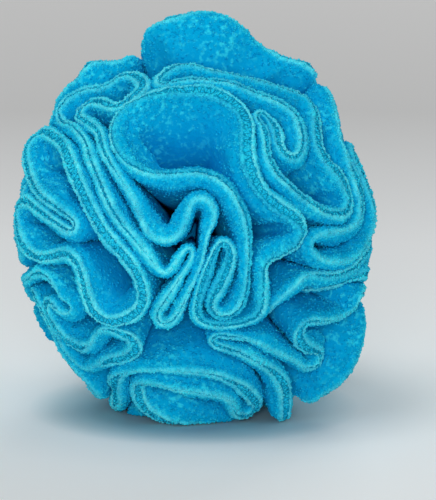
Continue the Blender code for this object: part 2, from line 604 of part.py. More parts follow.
def main():
    for obj in list(bpy.data.objects):
        bpy.data.objects.remove(obj, do_unlink=True)
    tables = [
        pocket_rim_shares, s_fold_rim_shares, tongue_rim_shares, corner_rim_shares,
        list(flap_front_shares) + leg_rows(FLAP_LEGS),
        list(right_front_shares) + leg_rows(RIGHT_LEGS),
        list(wedge_front_shares) + leg_rows(WEDGE_LEGS),
        list(lower_right_front_shares) + leg_rows(LOWER_RIGHT_LEGS),
        list(bottom_front_shares) + leg_rows(BOTTOM_LEGS),
        list(lower_left_front_shares) + leg_rows(LOWER_LEFT_LEGS),
        list(upper_left_front_shares) + leg_rows(UPPER_LEFT_LEGS),
        list(left_front_shares) + leg_rows(LEFT_LEGS),
    ]
    curves = [smooth_loop([rim_point(row) for row in table]) for table in tables]
    taken = np.vstack([unit(curve) for curve in curves])
    middles = [front_direction(row[0], row[1]) for row in ROSETTES]
    for order, row in enumerate(ROSETTES):
        others = [middle for place, middle in enumerate(middles) if place != order]
        curves.append(smooth_loop(rosette_points(*row, taken, others)))
    curves = [thin_out(curve) for curve in curves]
    half_nominal = 0.5 * FLEECE_THICK / BALL_RADIUS
    half_gap = 0.5 * RIM_GAP / BALL_RADIUS
    frames = half_widths([unit(curve) for curve in curves], half_nominal, half_gap)
    fleece = fabric_material("fleece_turquoise", FLEECE_RGB, 0.95, 0.6)
    thread = fabric_material("thread_teal", THREAD_RGB, 0.7, 0.1)
    cover = fabric_material("core_cloth", COVER_RGB, 0.9, 0.2)
    filling = fabric_material("fibre_filling", FILLING_RGB, 0.95, 0.3)
    for order, (curve, frame) in enumerate(zip(curves, frames), start=1):
        ruffle, tie = add_ruffle("ruffle_%02d" % order, curve, frame, fleece)
        add_knot("tack_knot_%02d" % order, ruffle, tie, thread)
    add_core(cover, filling, thread)
    centre_on_origin()


main()
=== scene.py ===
"""Looks of the snuffle ball: double-sided plush fleece circles, drawn in at the middle and bunched
into folds, with overlocked rims, a line of stitches along each seam and a fuzz of pile.

Each circle's wall follows the same rim as its solid. The rim tables are in shares of BALL_RADIUS and
stand in a front frame (x right, depth away, up), which FRONT_TIP_DEG tips forward.
"""

import math

import bmesh
import bpy
import numpy as np
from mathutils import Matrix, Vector, noise
from mathutils.geometry import delaunay_2d_cdt

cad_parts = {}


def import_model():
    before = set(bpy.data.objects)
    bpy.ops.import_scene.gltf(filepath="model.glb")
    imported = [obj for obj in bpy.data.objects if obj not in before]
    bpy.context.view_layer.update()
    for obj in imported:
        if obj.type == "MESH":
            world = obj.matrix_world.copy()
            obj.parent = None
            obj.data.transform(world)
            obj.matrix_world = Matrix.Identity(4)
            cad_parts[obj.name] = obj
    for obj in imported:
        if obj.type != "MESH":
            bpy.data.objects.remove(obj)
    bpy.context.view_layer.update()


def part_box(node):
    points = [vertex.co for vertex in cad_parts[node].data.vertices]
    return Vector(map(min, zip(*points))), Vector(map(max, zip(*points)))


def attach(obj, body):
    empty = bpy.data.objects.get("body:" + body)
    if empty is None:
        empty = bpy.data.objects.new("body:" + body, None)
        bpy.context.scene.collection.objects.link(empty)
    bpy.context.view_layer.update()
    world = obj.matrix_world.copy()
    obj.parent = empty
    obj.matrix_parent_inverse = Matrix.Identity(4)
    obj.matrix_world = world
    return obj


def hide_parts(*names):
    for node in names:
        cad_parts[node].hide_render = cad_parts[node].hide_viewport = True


MM = 0.001
BALL_RADIUS = 0.075
FLEECE_THICK = 0.0075
MIDDLE_THICK = 0.0026
RIM_GAP = 0.0004
CORE_RADIUS = 0.0125
CORE_COVER_THICK = 0.0012
CORE_SEAM_HALF_GAP = 0.0009
CORE_SIDES = 72
CORE_RINGS = 14
CORE_GATHERS = 24
CORE_GATHER_DEEP = 0.0004
CORE_GATHER_POWER = 6
YARN_PITCH = 0.0006
# A wave texture of scale one repeats after this length.
WAVE_REPEAT = 0.314
FIBRE_PATCH_MM = 2.0
WHIP_STITCHES = 36
WHIP_STEPS = 10
WHIP_REACH = 0.0012
WHIP_THREAD_RADIUS = 0.0002
CORE_THREAD_SIDES = 5
KNOT_RADIUS = 0.0016
KNOT_THREAD_RADIUS = 0.00034
KNOT_STEPS = 60
KNOT_SWING = 1.6
KNOT_ODD_WAY = (0.2, 0.5, 0.8)

foot_share = 0.30
floor_share = 1.0
rim_step_share = 0.012
rounding_share = 0.022

FRONT_TIP_DEG = 12.0
FRONT_LIMIT_DEG = 75.0
SWIRL_DEG = 9.0
SWIRL_WAVES = 3
REAR_SPAN_DEG = 45.0
FLAT_PATCH_DEG = 22.0
BULGE_END_DEG = 42.0
FOOT_RUN_MM = 10.0
squeeze_share = 0.45
ROSETTE_ANGLES = 40
ROSETTE_LOBE_POWER = 0.6
# Keeps a division from dividing by nothing, and the least gap between two points of a fleece's middle.
TINY = 1.0e-6
LEAST_GAP = 1.0e-7
# A way along which no circle's middle lies, to turn its flat frame by.
ODD_WAY = (0.31, 0.17, 0.93)

leg_shares = (0.06, 0.30, 0.55, 0.80, 0.95)

# Across one half of a fleece wall: shares of the half thickness over the rounded rim, then depths in
# mm down the face, each with how much pile grows there.
crown_rows = ((0.0, 1.0), (0.14, 1.0), (0.28, 1.0), (0.42, 1.0), (0.55, 1.0), (0.67, 1.0), (0.78, 1.0),
              (0.87, 1.0), (0.94, 1.0), (0.985, 0.9), (1.0, 0.8))
face_rows = ((3.4, 0.7), (4.4, 0.55), (6.0, 0.4), (8.2, 0.3), (11.5, 0.2), (16.0, 0.1), (22.0, 0.0),
             (30.0, 0.0))
CROWN_DEEP = 0.0028
CROWN_POWER = 2.4

# Diameter in mm that each fleece circle is cut to.
CIRCLE_MM = (131, 136, 120, 120, 139, 150, 135, 165, 158, 158, 133, 129, 93, 93, 93)

facing_share = 0.35
far_side_share = 1.45
bend_room_share = 0.8
FAR = 9.0
# Rounds of narrowing, and the reach and spread of a blur, all in steps along the rim.
NARROW_STEPS = 3
SWELL_STEPS = 2
WIDTH_BLUR = (6, 2.5)
SPOT_GRID = 40
FLOOR_CLEAR = 0.0009

RIM_WAVE = 0.030
RIM_SWING = 0.0012
RISE_FADE = 0.012
rim_rise = (1.0, -0.5, 0.8, -0.5, 0.0, 0.3, -0.5, 0.0, 0.0, 0.3, 0.0, 0.0, 0.0, 0.0, 0.0)
SEAM_WAVE = 0.035
SEAM_SWING_MM = 2.0
SEAM_HALF_MM = 1.4
SEAM_SHUT_SHARE = -0.6
SEAM_DEEP = 0.0003
SEAM_WANDER_MM = 0.35
SEAM_BLUR = (12, 5.0)
# How open a seam without marks is on the whole, and how much noise opens and shuts it.
open_shares = (0.25, 2.0)
RING_NOISE_GAIN = 1.6
LIP_HIGH = 0.00045
LIP_MIDDLE_MM = 1.2
LIP_REACH_MM = 0.9
# Where the front shows the seam: place on the rim in shares (across, up), then how far the seam lies
# from the rim's middle towards the inside of the circle and half its width, both in mm.
seam_marks = {
    1: ((-0.34, 0.675, -1.8, 0.15), (-0.40, 0.45, -2.0, 0.15), (-0.25, 0.725, -0.8, 0.6),
        (-0.02, 0.785, 1.2, 1.5), (0.205, 0.74, 1.4, 1.6), (0.305, 0.48, 1.4, 1.6),
        (0.395, 0.22, 1.2, 1.5), (0.55, 0.095, 1.6, 1.3), (0.55, -0.06, -2.6, 0.2),
        (0.365, -0.17, -2.6, 0.2), (0.39, -0.41, 1.8, 0.2), (0.24, -0.515, 1.6, 0.3),
        (0.05, -0.50, 1.6, 0.3), (0.05, -0.27, 0.4, 0.9), (0.165, -0.05, 0.2, 1.0),
        (0.145, -0.31, 0.4, 0.8), (0.19, -0.45, 1.2, 0.3), (0.29, -0.22, 1.8, 0.25),
        (0.24, 0.12, 2.3, 0.2), (0.045, 0.295, 2.5, 0.18), (-0.17, 0.29, 2.4, 0.18),
        (-0.35, 0.36, 1.6, 0.15)),
    2: ((-0.73, 0.595, 1.5, 0.3), (-0.565, 0.40, 0.2, 0.3), (-0.39, 0.03, 0.2, 0.3),
        (-0.145, -0.24, 1.5, -0.7), (-0.02, -0.085, 0.0, -0.9), (-0.06, -0.243, 0.0, -0.3),
        (-0.165, -0.39, 0.4, 0.2), (-0.155, -0.52, 0.6, 0.2), (-0.04, -0.355, -1.0, -0.2),
        (0.047, -0.14, -1.8, -0.8), (0.10, 0.13, -1.6, -0.9), (-0.05, 0.08, 1.6, -0.9),
        (-0.22, 0.0, 1.6, -0.9), (-0.38, 0.29, 1.0, -0.5), (-0.44, 0.375, 0.6, 0.2),
        (-0.53, 0.56, 0.0, 0.8), (-0.583, 0.728, 0.0, 0.9), (-0.411, 0.694, 0.2, 1.1),
        (-0.289, 0.806, 0.0, 1.3), (-0.372, 0.889, 0.4, 1.0), (-0.50, 0.813, 0.8, 0.7)),
    3: ((-0.83, 0.535, 0.0, 1.1), (-0.665, 0.37, 0.0, 1.6), (-0.51, 0.04, 0.0, 1.5),
        (-0.31, -0.21, 0.0, 1.4), (-0.30, -0.44, 0.2, 1.5), (-0.47, -0.49, 0.4, 1.4),
        (-0.59, -0.36, 1.8, 0.8), (-0.645, -0.17, 1.6, 0.5), (-0.77, -0.14, 0.2, 1.2),
        (-0.945, -0.03, 0.4, 1.0), (-0.92, 0.17, 0.0, 0.8), (-0.72, 0.02, -0.8, 0.6),
        (-0.68, 0.09, -1.0, 0.3), (-0.89, 0.30, 0.4, 0.8)),
    4: ((-0.04, 0.92, -0.6, 0.5), (0.2, 0.865, -1.2, 0.3), (0.52, 0.79, -1.0, 0.4),
        (0.69, 0.57, -0.4, 1.2), (0.745, 0.39, -0.2, 1.4), (0.85, 0.24, 0.0, 1.2),
        (0.78, 0.085, 1.4, 0.6), (0.61, 0.17, 1.6, 0.5), (0.45, 0.31, 1.6, 0.4),
        (0.405, 0.49, 0.8, 1.0), (0.385, 0.67, 0.4, 0.8), (0.48, 0.46, 0.2, 1.1),
        (0.585, 0.41, -0.8, 0.4), (0.57, 0.66, -1.4, 0.25), (0.24, 0.80, 1.2, 0.5)),
    7: ((0.955, -0.235, 0.0, 0.8), (0.55, -0.40, 0.0, -0.9), (0.44, -0.42, 0.0, -0.9),
        (0.53, -0.35, 0.0, -0.9), (0.60, -0.29, -1.0, -0.6), (0.70, -0.257, -1.4, 0.2),
        (0.89, -0.205, -1.0, 0.6)),
}
SWELL_START = 0.003
SWELL_SLOPE = 0.32
SWELL_REACH = 0.17
SLIT_SHARE = 5.0
SLIT_ROOM = 0.04
lean_shares = (1.4, 1.8, 1.0, 1.0, 1.0, 1.0, 2.6, 1.6, 1.2, 1.2, 1.0, 1.0, 1.0, 1.0, 1.0)
# How strong the painted highlight on the inner lip of each circle's rim is, beside its outer lip.
inner_highlight_shares = (0.15, 1.0, 0.9, 0.4, 0.5, 0.5, 0.3, 0.6, 0.7, 0.6, 0.6, 0.5, 0.6, 0.6, 0.6)

# Each noise field starts this far on for each circle, so that no two circles are alike.
RIM_SHIFT = 3.0
LUMP_SHIFT = 7.0
SEAM_SHIFT = 11.0
OPEN_SHIFT = 17.0
NAP_SHIFT = 31.0
LUMP_SIZE = 0.011
LUMP_DEEP = 0.0008
NAP_SIZE = 0.0024
NAP_DEEP = 0.00055
TUFTS_PER_MM2 = 0.8
TUFT_LENGTH = 0.0006
TUFT_RADIUS = 0.00062
TUFT_LEAN = 0.7
TUFT_TURN = 6.28
TUFT_TINT = (-0.4, 0.8)
TINT_FULL_MM = 1.5
TINT_FACE_MM = 5.0
TINT_FACE_SHARE = 0.45

OVERLOCK_PITCH = 0.0028
LOOPER_STEPS = 6
THREAD_RADIUS = 0.0002
THREAD_SUNK = 0.0008
STITCH_PITCH = 0.0029
STITCH_LENGTH = 2.2 * MM
STITCH_HIGH = 0.12 * MM
STITCH_RADIUS = 0.16 * MM
STITCH_STEPS = 5
STITCH_SIDES = 4
OVERLOCK_SIDES = 3
THREAD_TWIST_MM = 0.6

NAP_PATCH_MM = 2.4
TUFT_PATCH_MM = 1.1
LIP_PATCH_MM = 10.0
TONE_PATCH_MM = 26.0
RAGGED_MM = 2.2
EDGE_FROM_MM = -2.0
EDGE_TO_MM = 20.0
# Colours across the rim by mm beyond the seam's edge. The pale crown inside the seam and the pale lips
# beside it are painted highlight, where light catches the nap; the dark line at the seam's edge is the
# seam's own teal with painted shade in its groove; the faces are painted a little darker farther down, as
# shade.
edge_colours = (
    (-1.5, "#2CE2FF"), (-0.5, "#1CD6FC"), (-0.1, "#0094BA"), (0.2, "#00ACD2"), (0.5, "#78F8FF"),
    (1.8, "#54EEFF"), (2.7, "#0CC6EE"), (3.8, "#00B8E8"), (8.0, "#00B2E6"), (20.0, "#00AEE6"))
# The same with less painted highlight on the crown and lips.
calm_edge_colours = (
    (-1.5, "#18D2F6"), (-0.5, "#10C8F0"), (-0.1, "#009CC2"), (0.2, "#00AAD2"), (0.5, "#04BEE6"),
    (1.8, "#04C0E8"), (2.7, "#00BAE6"), (3.8, "#00B6E6"), (8.0, "#00B2E6"), (20.0, "#00AEE6"))
NAP_HEX = "#38ECFF"
FLECK_HEX = "#80C4DC"
DEEP_HEX = "#A8E0F4"
SHEEN_HEX = "#00C0F8"
THREAD_HEX = "#00789C"
THREAD_PALE_HEX = "#08B4DC"

CAMERA_DISTANCE = 4.0
SENSOR_MM = 24.0
VIEW_HEIGHT = 0.2083
AIM_RIGHT = 0.0104
AIM_BELOW = 0.0075

COVER_HEX = "#2298C0"
COVER_SHADE_HEX = "#166C90"
FIBRE_HEX = "#F2F3EE"
FIBRE_SHADE_HEX = "#C9CAC4"

FLOOR_HALF = 30.0
FLOOR_TONE_FROM = 0.04
FLOOR_TONE_TO = 1.3
FLOOR_BOUNCE_HEX = "#E4E8EA"
ROOM_HEX = "#F8FAFC"
WALL_HEX = "#BDBCBB"
# Floor colour seen by the camera, by distance from under the ball: the teal grey close to the ball is a
# painted contact shadow with painted teal bounce light, then pale, then a shade darker far off.
floor_and_painted_shadow_colours = (
    (0.0, "#A8CCD4"), (0.012, "#CCE2E6"), (0.024, "#F4FAFA"), (0.06, "#FAFFFF"), (0.24, "#F2F4F4"),
    (0.48, "#D0D0CF"), (1.0, "#DCDBDA"))
ROOM_STRENGTH = 0.36
SOFT_BOXES = (
    ("front_soft_box", (-0.05, -2.3, 0.57), 0.6, 19.5),
    ("key_soft_box", (-0.6, -0.5, 2.3), 1.2, 13.5),
    ("back_soft_box", (0.6, 2.2, 1.4), 1.2, 17.0))

# Rims. A pair is (across, up) on the front of the ball. A triple is (clock angle, angle from the view
# axis, radius): clock 0 is to the right, 90 up, and 90 from the view axis is the outline of the ball.
pocket_rim_shares = (
    (-0.42, 0.55), (-0.40, 0.62), (-0.34, 0.675), (-0.25, 0.725), (-0.14, 0.765), (-0.02, 0.785),
    (0.10, 0.78), (0.205, 0.74), (0.28, 0.67), (0.31, 0.58), (0.305, 0.48), (0.31, 0.40),
    (0.34, 0.31), (0.395, 0.22), (0.475, 0.15), (0.55, 0.095), (0.59, 0.04), (0.59, -0.02),
    (0.55, -0.06), (0.475, -0.095), (0.405, -0.125), (0.365, -0.17), (0.365, -0.25), (0.38, -0.33),
    (0.39, -0.41), (0.37, -0.46), (0.32, -0.495), (0.24, -0.515), (0.14, -0.52), (0.05, -0.50),
    (0.01, -0.45), (0.02, -0.36), (0.05, -0.27), (0.085, -0.18), (0.12, -0.10), (0.165, -0.05),
    (0.205, -0.11), (0.19, -0.21), (0.145, -0.31), (0.105, -0.39), (0.13, -0.445), (0.19, -0.45),
    (0.245, -0.41), (0.275, -0.33), (0.29, -0.22), (0.29, -0.10), (0.275, 0.02), (0.24, 0.12),
    (0.19, 0.205), (0.125, 0.265), (0.045, 0.295), (-0.06, 0.295), (-0.17, 0.29), (-0.27, 0.305),
    (-0.35, 0.36), (-0.40, 0.45))
s_fold_rim_shares = (
    (-0.73, 0.595), (-0.66, 0.565), (-0.60, 0.50), (-0.565, 0.40), (-0.52, 0.28), (-0.46, 0.15),
    (-0.39, 0.03), (-0.31, -0.07), (-0.24, -0.16), (-0.19, -0.22), (-0.145, -0.24), (-0.10, -0.20),
    (-0.065, -0.145), (-0.038, -0.093), (-0.010, -0.082), (0.003, -0.112), (-0.014, -0.17), (-0.06, -0.243),
    (-0.115, -0.32), (-0.165, -0.39), (-0.20, -0.445), (-0.20, -0.495), (-0.155, -0.52), (-0.105, -0.495),
    (-0.07, -0.43), (-0.04, -0.355), (-0.005, -0.28), (0.025, -0.21), (0.047, -0.14), (0.06, -0.07),
    (0.075, 0.0), (0.10, 0.065), (0.10, 0.13), (0.05, 0.18), (-0.01, 0.16), (-0.05, 0.08),
    (-0.09, 0.0), (-0.15, -0.03), (-0.22, 0.0), (-0.27, 0.08), (-0.31, 0.18), (-0.38, 0.29),
    (-0.44, 0.375), (-0.49, 0.46), (-0.53, 0.56), (-0.60, 0.615), (-0.645, 0.65), (-0.625, 0.695),
    (-0.583, 0.728), (-0.539, 0.728), (-0.494, 0.717), (-0.455, 0.694), (-0.411, 0.694), (-0.367, 0.725),
    (-0.322, 0.764), (-0.289, 0.806), (-0.283, 0.844), (-0.317, 0.878), (-0.372, 0.889),
    (-0.422, 0.872), (-0.461, 0.839), (-0.50, 0.813), (-0.55, 0.806), (-0.611, 0.797), (-0.67, 0.77),
    (-0.72, 0.73), (-0.755, 0.66))
tongue_rim_shares = (
    (-0.89, 0.49), (-0.83, 0.535), (-0.76, 0.53), (-0.70, 0.47), (-0.665, 0.37), (-0.625, 0.26),
    (-0.575, 0.15), (-0.51, 0.04), (-0.44, -0.05), (-0.37, -0.13), (-0.31, -0.21), (-0.275, -0.29),
    (-0.265, -0.37), (-0.30, -0.44), (-0.38, -0.485), (-0.47, -0.49), (-0.545, -0.44), (-0.59, -0.36),
    (-0.615, -0.26), (-0.645, -0.17), (-0.70, -0.13), (-0.77, -0.14), (-0.85, -0.15), (-0.91, -0.11),
    (-0.945, -0.03), (-0.965, 0.06), (-0.955, 0.14), (-0.92, 0.17), (-0.86, 0.13), (-0.79, 0.07),
    (-0.72, 0.02), (-0.665, 0.0), (-0.64, 0.04), (-0.68, 0.09), (-0.76, 0.15), (-0.84, 0.22),
    (-0.89, 0.30), (-0.91, 0.40))
corner_rim_shares = (
    (-0.18, 0.82), (-0.16, 0.88), (-0.04, 0.92), (0.06, 0.895), (0.2, 0.865), (0.37, 0.83),
    (0.52, 0.79), (0.63, 0.745), (0.68, 0.67), (0.69, 0.57), (0.70, 0.47), (0.745, 0.39),
    (0.80, 0.32), (0.85, 0.24), (0.875, 0.16), (0.85, 0.10), (0.78, 0.085), (0.70, 0.115),
    (0.61, 0.17), (0.52, 0.245), (0.45, 0.31), (0.41, 0.39), (0.405, 0.49), (0.385, 0.58),
    (0.355, 0.65), (0.385, 0.67), (0.43, 0.62), (0.465, 0.54), (0.48, 0.46), (0.53, 0.405),
    (0.585, 0.41), (0.615, 0.48), (0.605, 0.57), (0.57, 0.66), (0.48, 0.72), (0.36, 0.76),
    (0.24, 0.80), (0.10, 0.83), (-0.03, 0.84), (-0.12, 0.83))
flap_front_shares = (
    (103.5, 90, 1.02), (102, 87, 1.15), (97, 85, 1.20), (90, 85, 1.22), (85, 85, 1.215),
    (80, 86, 1.185), (74.5, 87, 1.14), (67.5, 88, 1.10), (60.5, 88, 1.105), (55, 88, 1.13),
    (52.5, 92, 1.07))
upper_left_front_shares = (
    (146, 88, 0.985), (140.5, 87, 1.02), (136, 87, 1.065), (130.5, 87, 1.075), (127, 87, 1.075),
    (124, 87, 1.09), (121.8, 87, 1.10), (118, 88, 1.07), (114.5, 88, 1.035), (111, 89, 1.03))
left_front_shares = (
    (189, 89, 0.96), (183, 87, 0.975), (176, 86, 0.985), (169, 86, 0.98), (162, 87, 0.975),
    (155, 88, 0.97))
right_front_shares = (
    (48, 84, 1.09), (44, 80, 1.075), (39, 76, 1.04), (0.80, 0.53), (0.835, 0.44), (0.875, 0.35),
    (0.91, 0.25), (0.925, 0.15), (0.915, 0.06), (0.86, -0.005), (0.77, -0.015), (0.69, -0.02),
    (0.645, -0.055), (0.65, -0.12), (0.70, -0.165), (0.79, -0.175), (0.875, -0.145), (0.93, -0.08),
    (0.965, 0.0), (7, 77, 1.02), (15, 78, 1.01), (23, 79, 1.0), (28, 83, 1.0), (24, 88, 1.0),
    (16, 89, 1.0))
wedge_front_shares = (
    (0.955, -0.235), (-19.3, 69.7, 0.93), (-25.1, 62.1, 0.84), (-31, 54.7, 0.77), (-35.3, 49.2, 0.76),
    (-40.5, 46.8, 0.79), (-44.8, 45.4, 0.85), (-45.8, 42.5, 0.90), (-43, 40.0, 0.94), (-38, 39.0, 0.97),
    (-32, 39.6, 0.99), (0.592, -0.292), (0.62, -0.262), (0.665, -0.255), (0.735, -0.26), (0.81, -0.25),
    (0.89, -0.205), (0.945, -0.135), (-5.5, 79, 1.01), (-2, 84, 1.0), (2, 86, 1.0))
lower_right_front_shares = (
    (0.945, -0.35), (0.91, -0.41), (0.86, -0.45), (0.78, -0.475), (0.70, -0.48), (0.63, -0.49),
    (0.59, -0.535), (0.60, -0.59), (0.65, -0.635), (0.70, -0.675), (0.70, -0.725), (0.64, -0.745),
    (0.56, -0.71), (0.47, -0.655), (0.38, -0.605), (0.28, -0.575), (0.19, -0.57), (0.12, -0.575),
    (0.10, -0.605), (0.17, -0.635), (0.26, -0.665), (0.35, -0.71), (0.44, -0.775), (-59.5, 70, 1.05),
    (-61, 76, 1.10), (-63.5, 82, 1.18), (-61.2, 87, 1.13), (-58.3, 86, 1.05), (-55.6, 86, 1.15),
    (-52, 87, 1.155), (-49, 87, 1.165), (-43.3, 87, 1.18), (-37, 87, 1.15), (-30, 87, 1.09),
    (-25.5, 89, 1.03), (-27, 95, 1.0), (-34, 97, 1.0), (-41, 97, 1.0), (-48, 97, 1.0),
    (-55, 96, 1.0), (-61, 94, 1.05))
bottom_front_shares = (
    (-0.43, -0.83), (-0.40, -0.775), (-0.31, -0.75), (-0.18, -0.75), (-0.05, -0.77), (0.08, -0.80),
    (0.20, -0.83), (0.29, -0.865), (290, 76, 1.03), (288, 80, 1.05), (284, 77, 1.03), (0.19, -0.91),
    (0.05, -0.885), (-0.10, -0.865), (-0.23, -0.845), (-0.31, -0.865), (-0.28, -0.925),
    (258, 77, 1.05), (264, 77, 1.07), (271, 77, 1.07), (278, 81, 1.08), (281, 86, 1.08))
lower_left_front_shares = (
    (197, 83, 0.985), (-0.90, -0.26), (-0.86, -0.22), (-0.80, -0.24), (-0.76, -0.30), (-0.725, -0.36),
    (-0.67, -0.395), (-0.655, -0.43), (-0.70, -0.455), (-0.745, -0.42), (-0.79, -0.38),
    (-0.805, -0.42), (-0.765, -0.51), (-0.695, -0.595), (-0.615, -0.64), (-0.55, -0.625),
    (-0.515, -0.56), (-0.465, -0.53), (-0.40, -0.55), (-0.34, -0.58), (-0.325, -0.64), (-0.38, -0.69),
    (-0.46, -0.715), (-0.54, -0.745), (-0.61, -0.75), (-0.67, -0.70), (-0.735, -0.61), (-0.79, -0.51),
    (-0.84, -0.41), (-0.875, -0.34), (201, 76, 0.98), (207, 81, 0.96), (215, 82, 0.98),
    (223, 82, 1.0), (231, 82, 1.02), (238, 83, 1.05), (240, 88, 1.05))

# Fold legs behind the outline: (clock angle, near and far angle from the view axis).
FLAP_LEGS = ((53, 98, 128), (60, 100, 130), (67, 103, 131), (74, 101, 128), (81, 99, 131),
             (88, 102, 130), (95, 99, 128), (102, 96, 130))
UPPER_LEFT_LEGS = ((109, 95, 139), (116, 99, 141), (123, 101, 138), (130, 99, 141), (137, 101, 139),
                   (144, 96, 138))
LEFT_LEGS = ((152, 95, 138), (159, 99, 139), (166, 100, 141), (173, 98, 138), (180, 101, 140),
             (187, 97, 139))
RIGHT_LEGS = ((11.5, 95, 130), (18.5, 98, 129), (25.5, 97, 131), (32.5, 98, 130), (39.5, 96, 129),
              (46, 92, 131))
WEDGE_LEGS = ((5, 91, 138), (-1.5, 97, 140), (-8, 95, 138), (-14, 84, 136))
LOWER_RIGHT_LEGS = ((-66, 100, 126), (-59, 104, 127), (-52, 105, 125), (-45, 104, 127),
                    (-38, 105, 126), (-31, 103, 125), (-24.5, 104, 127), (-19.5, 84, 128))
BOTTOM_LEGS = ((281, 92, 128), (274, 90, 127), (267, 89, 129), (260, 90, 128), (253, 88, 127),
               (246, 77, 128))
LOWER_LEFT_LEGS = ((239, 94, 127), (232, 93, 128), (225, 94, 126), (218, 99, 128), (211, 103, 127),
                   (203, 101, 126))

# Rosettes fill the room left at the back: (clock angle, angle from the view axis, folds, turn of folds).
ROSETTES = ((92, 158, 5, 20.0), (215, 155, 5, 65.0), (330, 156, 5, 110.0))
rosette_start_share = 0.10
rosette_valley_share = 0.13
rosette_reach_share = 0.75
rosette_step_share = 0.012
rosette_wander_share = 0.35


def front_direction(clock, polar):
    """Unit direction in the front frame for a clock angle and an angle from the view axis."""
    turn = math.radians(clock)
    lean = math.radians(polar)
    return np.array([math.sin(lean) * math.cos(turn), -math.cos(lean), math.sin(lean) * math.sin(turn)])


def rim_point(row):
    """One rim point, in shares of the ball radius, in the front frame."""
    if len(row) == 2:
        reach = math.hypot(row[0], row[1])
        limit = math.sin(math.radians(FRONT_LIMIT_DEG))
        polar = math.degrees(math.asin(min(reach, limit)))
        clock = math.degrees(math.atan2(row[1], row[0]))
        radius = max(1.0, reach / limit)
    else:
        clock, polar, radius = row
        behind = max(0.0, polar - 90.0) / REAR_SPAN_DEG
        clock += SWIRL_DEG * behind * math.sin(math.radians(SWIRL_WAVES * clock))
    return front_direction(clock, polar) * radius


def leg_rows(table):
    """Rim rows of folds that run out and back by turns, one leg to each row of the table."""
    rows = []
    for order, (clock, near, far) in enumerate(table):
        run = [(clock, near + share * (far - near), 1.0) for share in leg_shares]
        rows += run if order % 2 == 0 else run[::-1]
    return rows


def blend(start, end, t_start, t_end, t):
    """Value at t on the straight run from start at t_start to end at t_end."""
    part = (t - t_start) / (t_end - t_start)
    return start * (1.0 - part) + end * part


def unit(rows):
    """Rows scaled to length one."""
    return rows / np.linalg.norm(rows, axis=-1, keepdims=True)


def ring_blur(rows, reach, sigma):
    """Rows of a closed ring, each averaged with its neighbours by a bell curve."""
    shifts = range(-reach, reach + 1)
    weights = [math.exp(-0.5 * (shift / sigma) ** 2) for shift in shifts]
    total = sum(weight * np.roll(rows, shift, axis=0) for weight, shift in zip(weights, shifts))
    return total / sum(weights)


def ring_low(values, reach):
    """Values of a closed ring, each lowered to the lowest of its neighbours, step by step."""
    for shift in range(1, reach + 1):
        values = np.minimum(values, np.minimum(np.roll(values, shift), np.roll(values, -shift)))
    return values


def even_steps(curve, step):
    """The closed curve in even steps of about the given length."""
    closed = np.vstack([curve, curve[:1]])
    run = np.concatenate(([0.0], np.cumsum(np.linalg.norm(np.diff(closed, axis=0), axis=1))))
    count = math.ceil(run[-1] / step)
    wanted = np.arange(count) * run[-1] / count
    return np.column_stack([np.interp(wanted, run, closed[:, axis]) for axis in range(closed.shape[1])])


def smooth_loop(points):
    """Closed smooth curve through the points, in short even steps, with its tightest turns rounded."""
    corners = np.array(points)
    count = len(corners)
    curve = []
    for index in range(count):
        p0, p1, p2, p3 = (corners[(index + k) % count] for k in (-1, 0, 1, 2))
        knots = [0.0]
        for start, end in ((p0, p1), (p1, p2), (p2, p3)):
            knots.append(knots[-1] + math.sqrt(max(np.linalg.norm(end - start), rim_step_share ** 2)))
        steps = max(2, math.ceil(np.linalg.norm(p2 - p1) / rim_step_share))
        for step in range(steps):
            t = knots[1] + (knots[2] - knots[1]) * step / steps
            a1 = blend(p0, p1, knots[0], knots[1], t)
            a2 = blend(p1, p2, knots[1], knots[2], t)
            a3 = blend(p2, p3, knots[2], knots[3], t)
            b1 = blend(a1, a2, knots[0], knots[2], t)
            b2 = blend(a2, a3, knots[1], knots[3], t)
            curve.append(blend(b1, b2, knots[1], knots[2], t))
    even = even_steps(np.array(curve), rim_step_share)
    span = math.ceil(3.0 * rounding_share / rim_step_share)
    return ring_blur(even, span, rounding_share / rim_step_share)


def rosette_points(clock, polar, folds, turn, taken, others):
    """Rim of a rosette that grows from its middle until it nears another rim or a nearer middle."""
    middle = front_direction(clock, polar)
    across = unit(np.cross(middle, np.array([0.0, 0.0, 1.0])))
    upward = np.cross(across, middle)
    clearance = (FLEECE_THICK + RIM_GAP) / BALL_RADIUS
    reach = []
    for index in range(ROSETTE_ANGLES):
        angle = 2.0 * math.pi * index / ROSETTE_ANGLES
        heading = across * math.cos(angle) + upward * math.sin(angle)
        far = rosette_start_share
        while far < rosette_reach_share:
            spot = middle * math.cos(far) + heading * math.sin(far)
            own = np.linalg.norm(spot - middle)
            nearer = min(np.linalg.norm(spot - other) for other in others)
            if np.linalg.norm(taken - spot, axis=1).min() < clearance or nearer < own + clearance:
                break
            far += rosette_step_share
        reach.append(far)
    reach = np.array(reach)
    low = np.minimum(reach, np.minimum(np.roll(reach, 1), np.roll(reach, -1)))
    low = (low + np.roll(low, 1) + np.roll(low, -1)) / 3.0
    points = []
    for index in range(ROSETTE_ANGLES):
        angle = 2.0 * math.pi * index / ROSETTE_ANGLES
        wander = rosette_wander_share * math.sin(angle + math.radians(turn))
        lobe = 0.5 + 0.5 * math.cos(folds * (angle + wander) + math.radians(turn))
        far = rosette_valley_share + (low[index] - rosette_valley_share) * lobe ** ROSETTE_LOBE_POWER
        heading = across * math.cos(angle) + upward * math.sin(angle)
        points.append(middle * math.cos(far) + heading * math.sin(far))
    return points


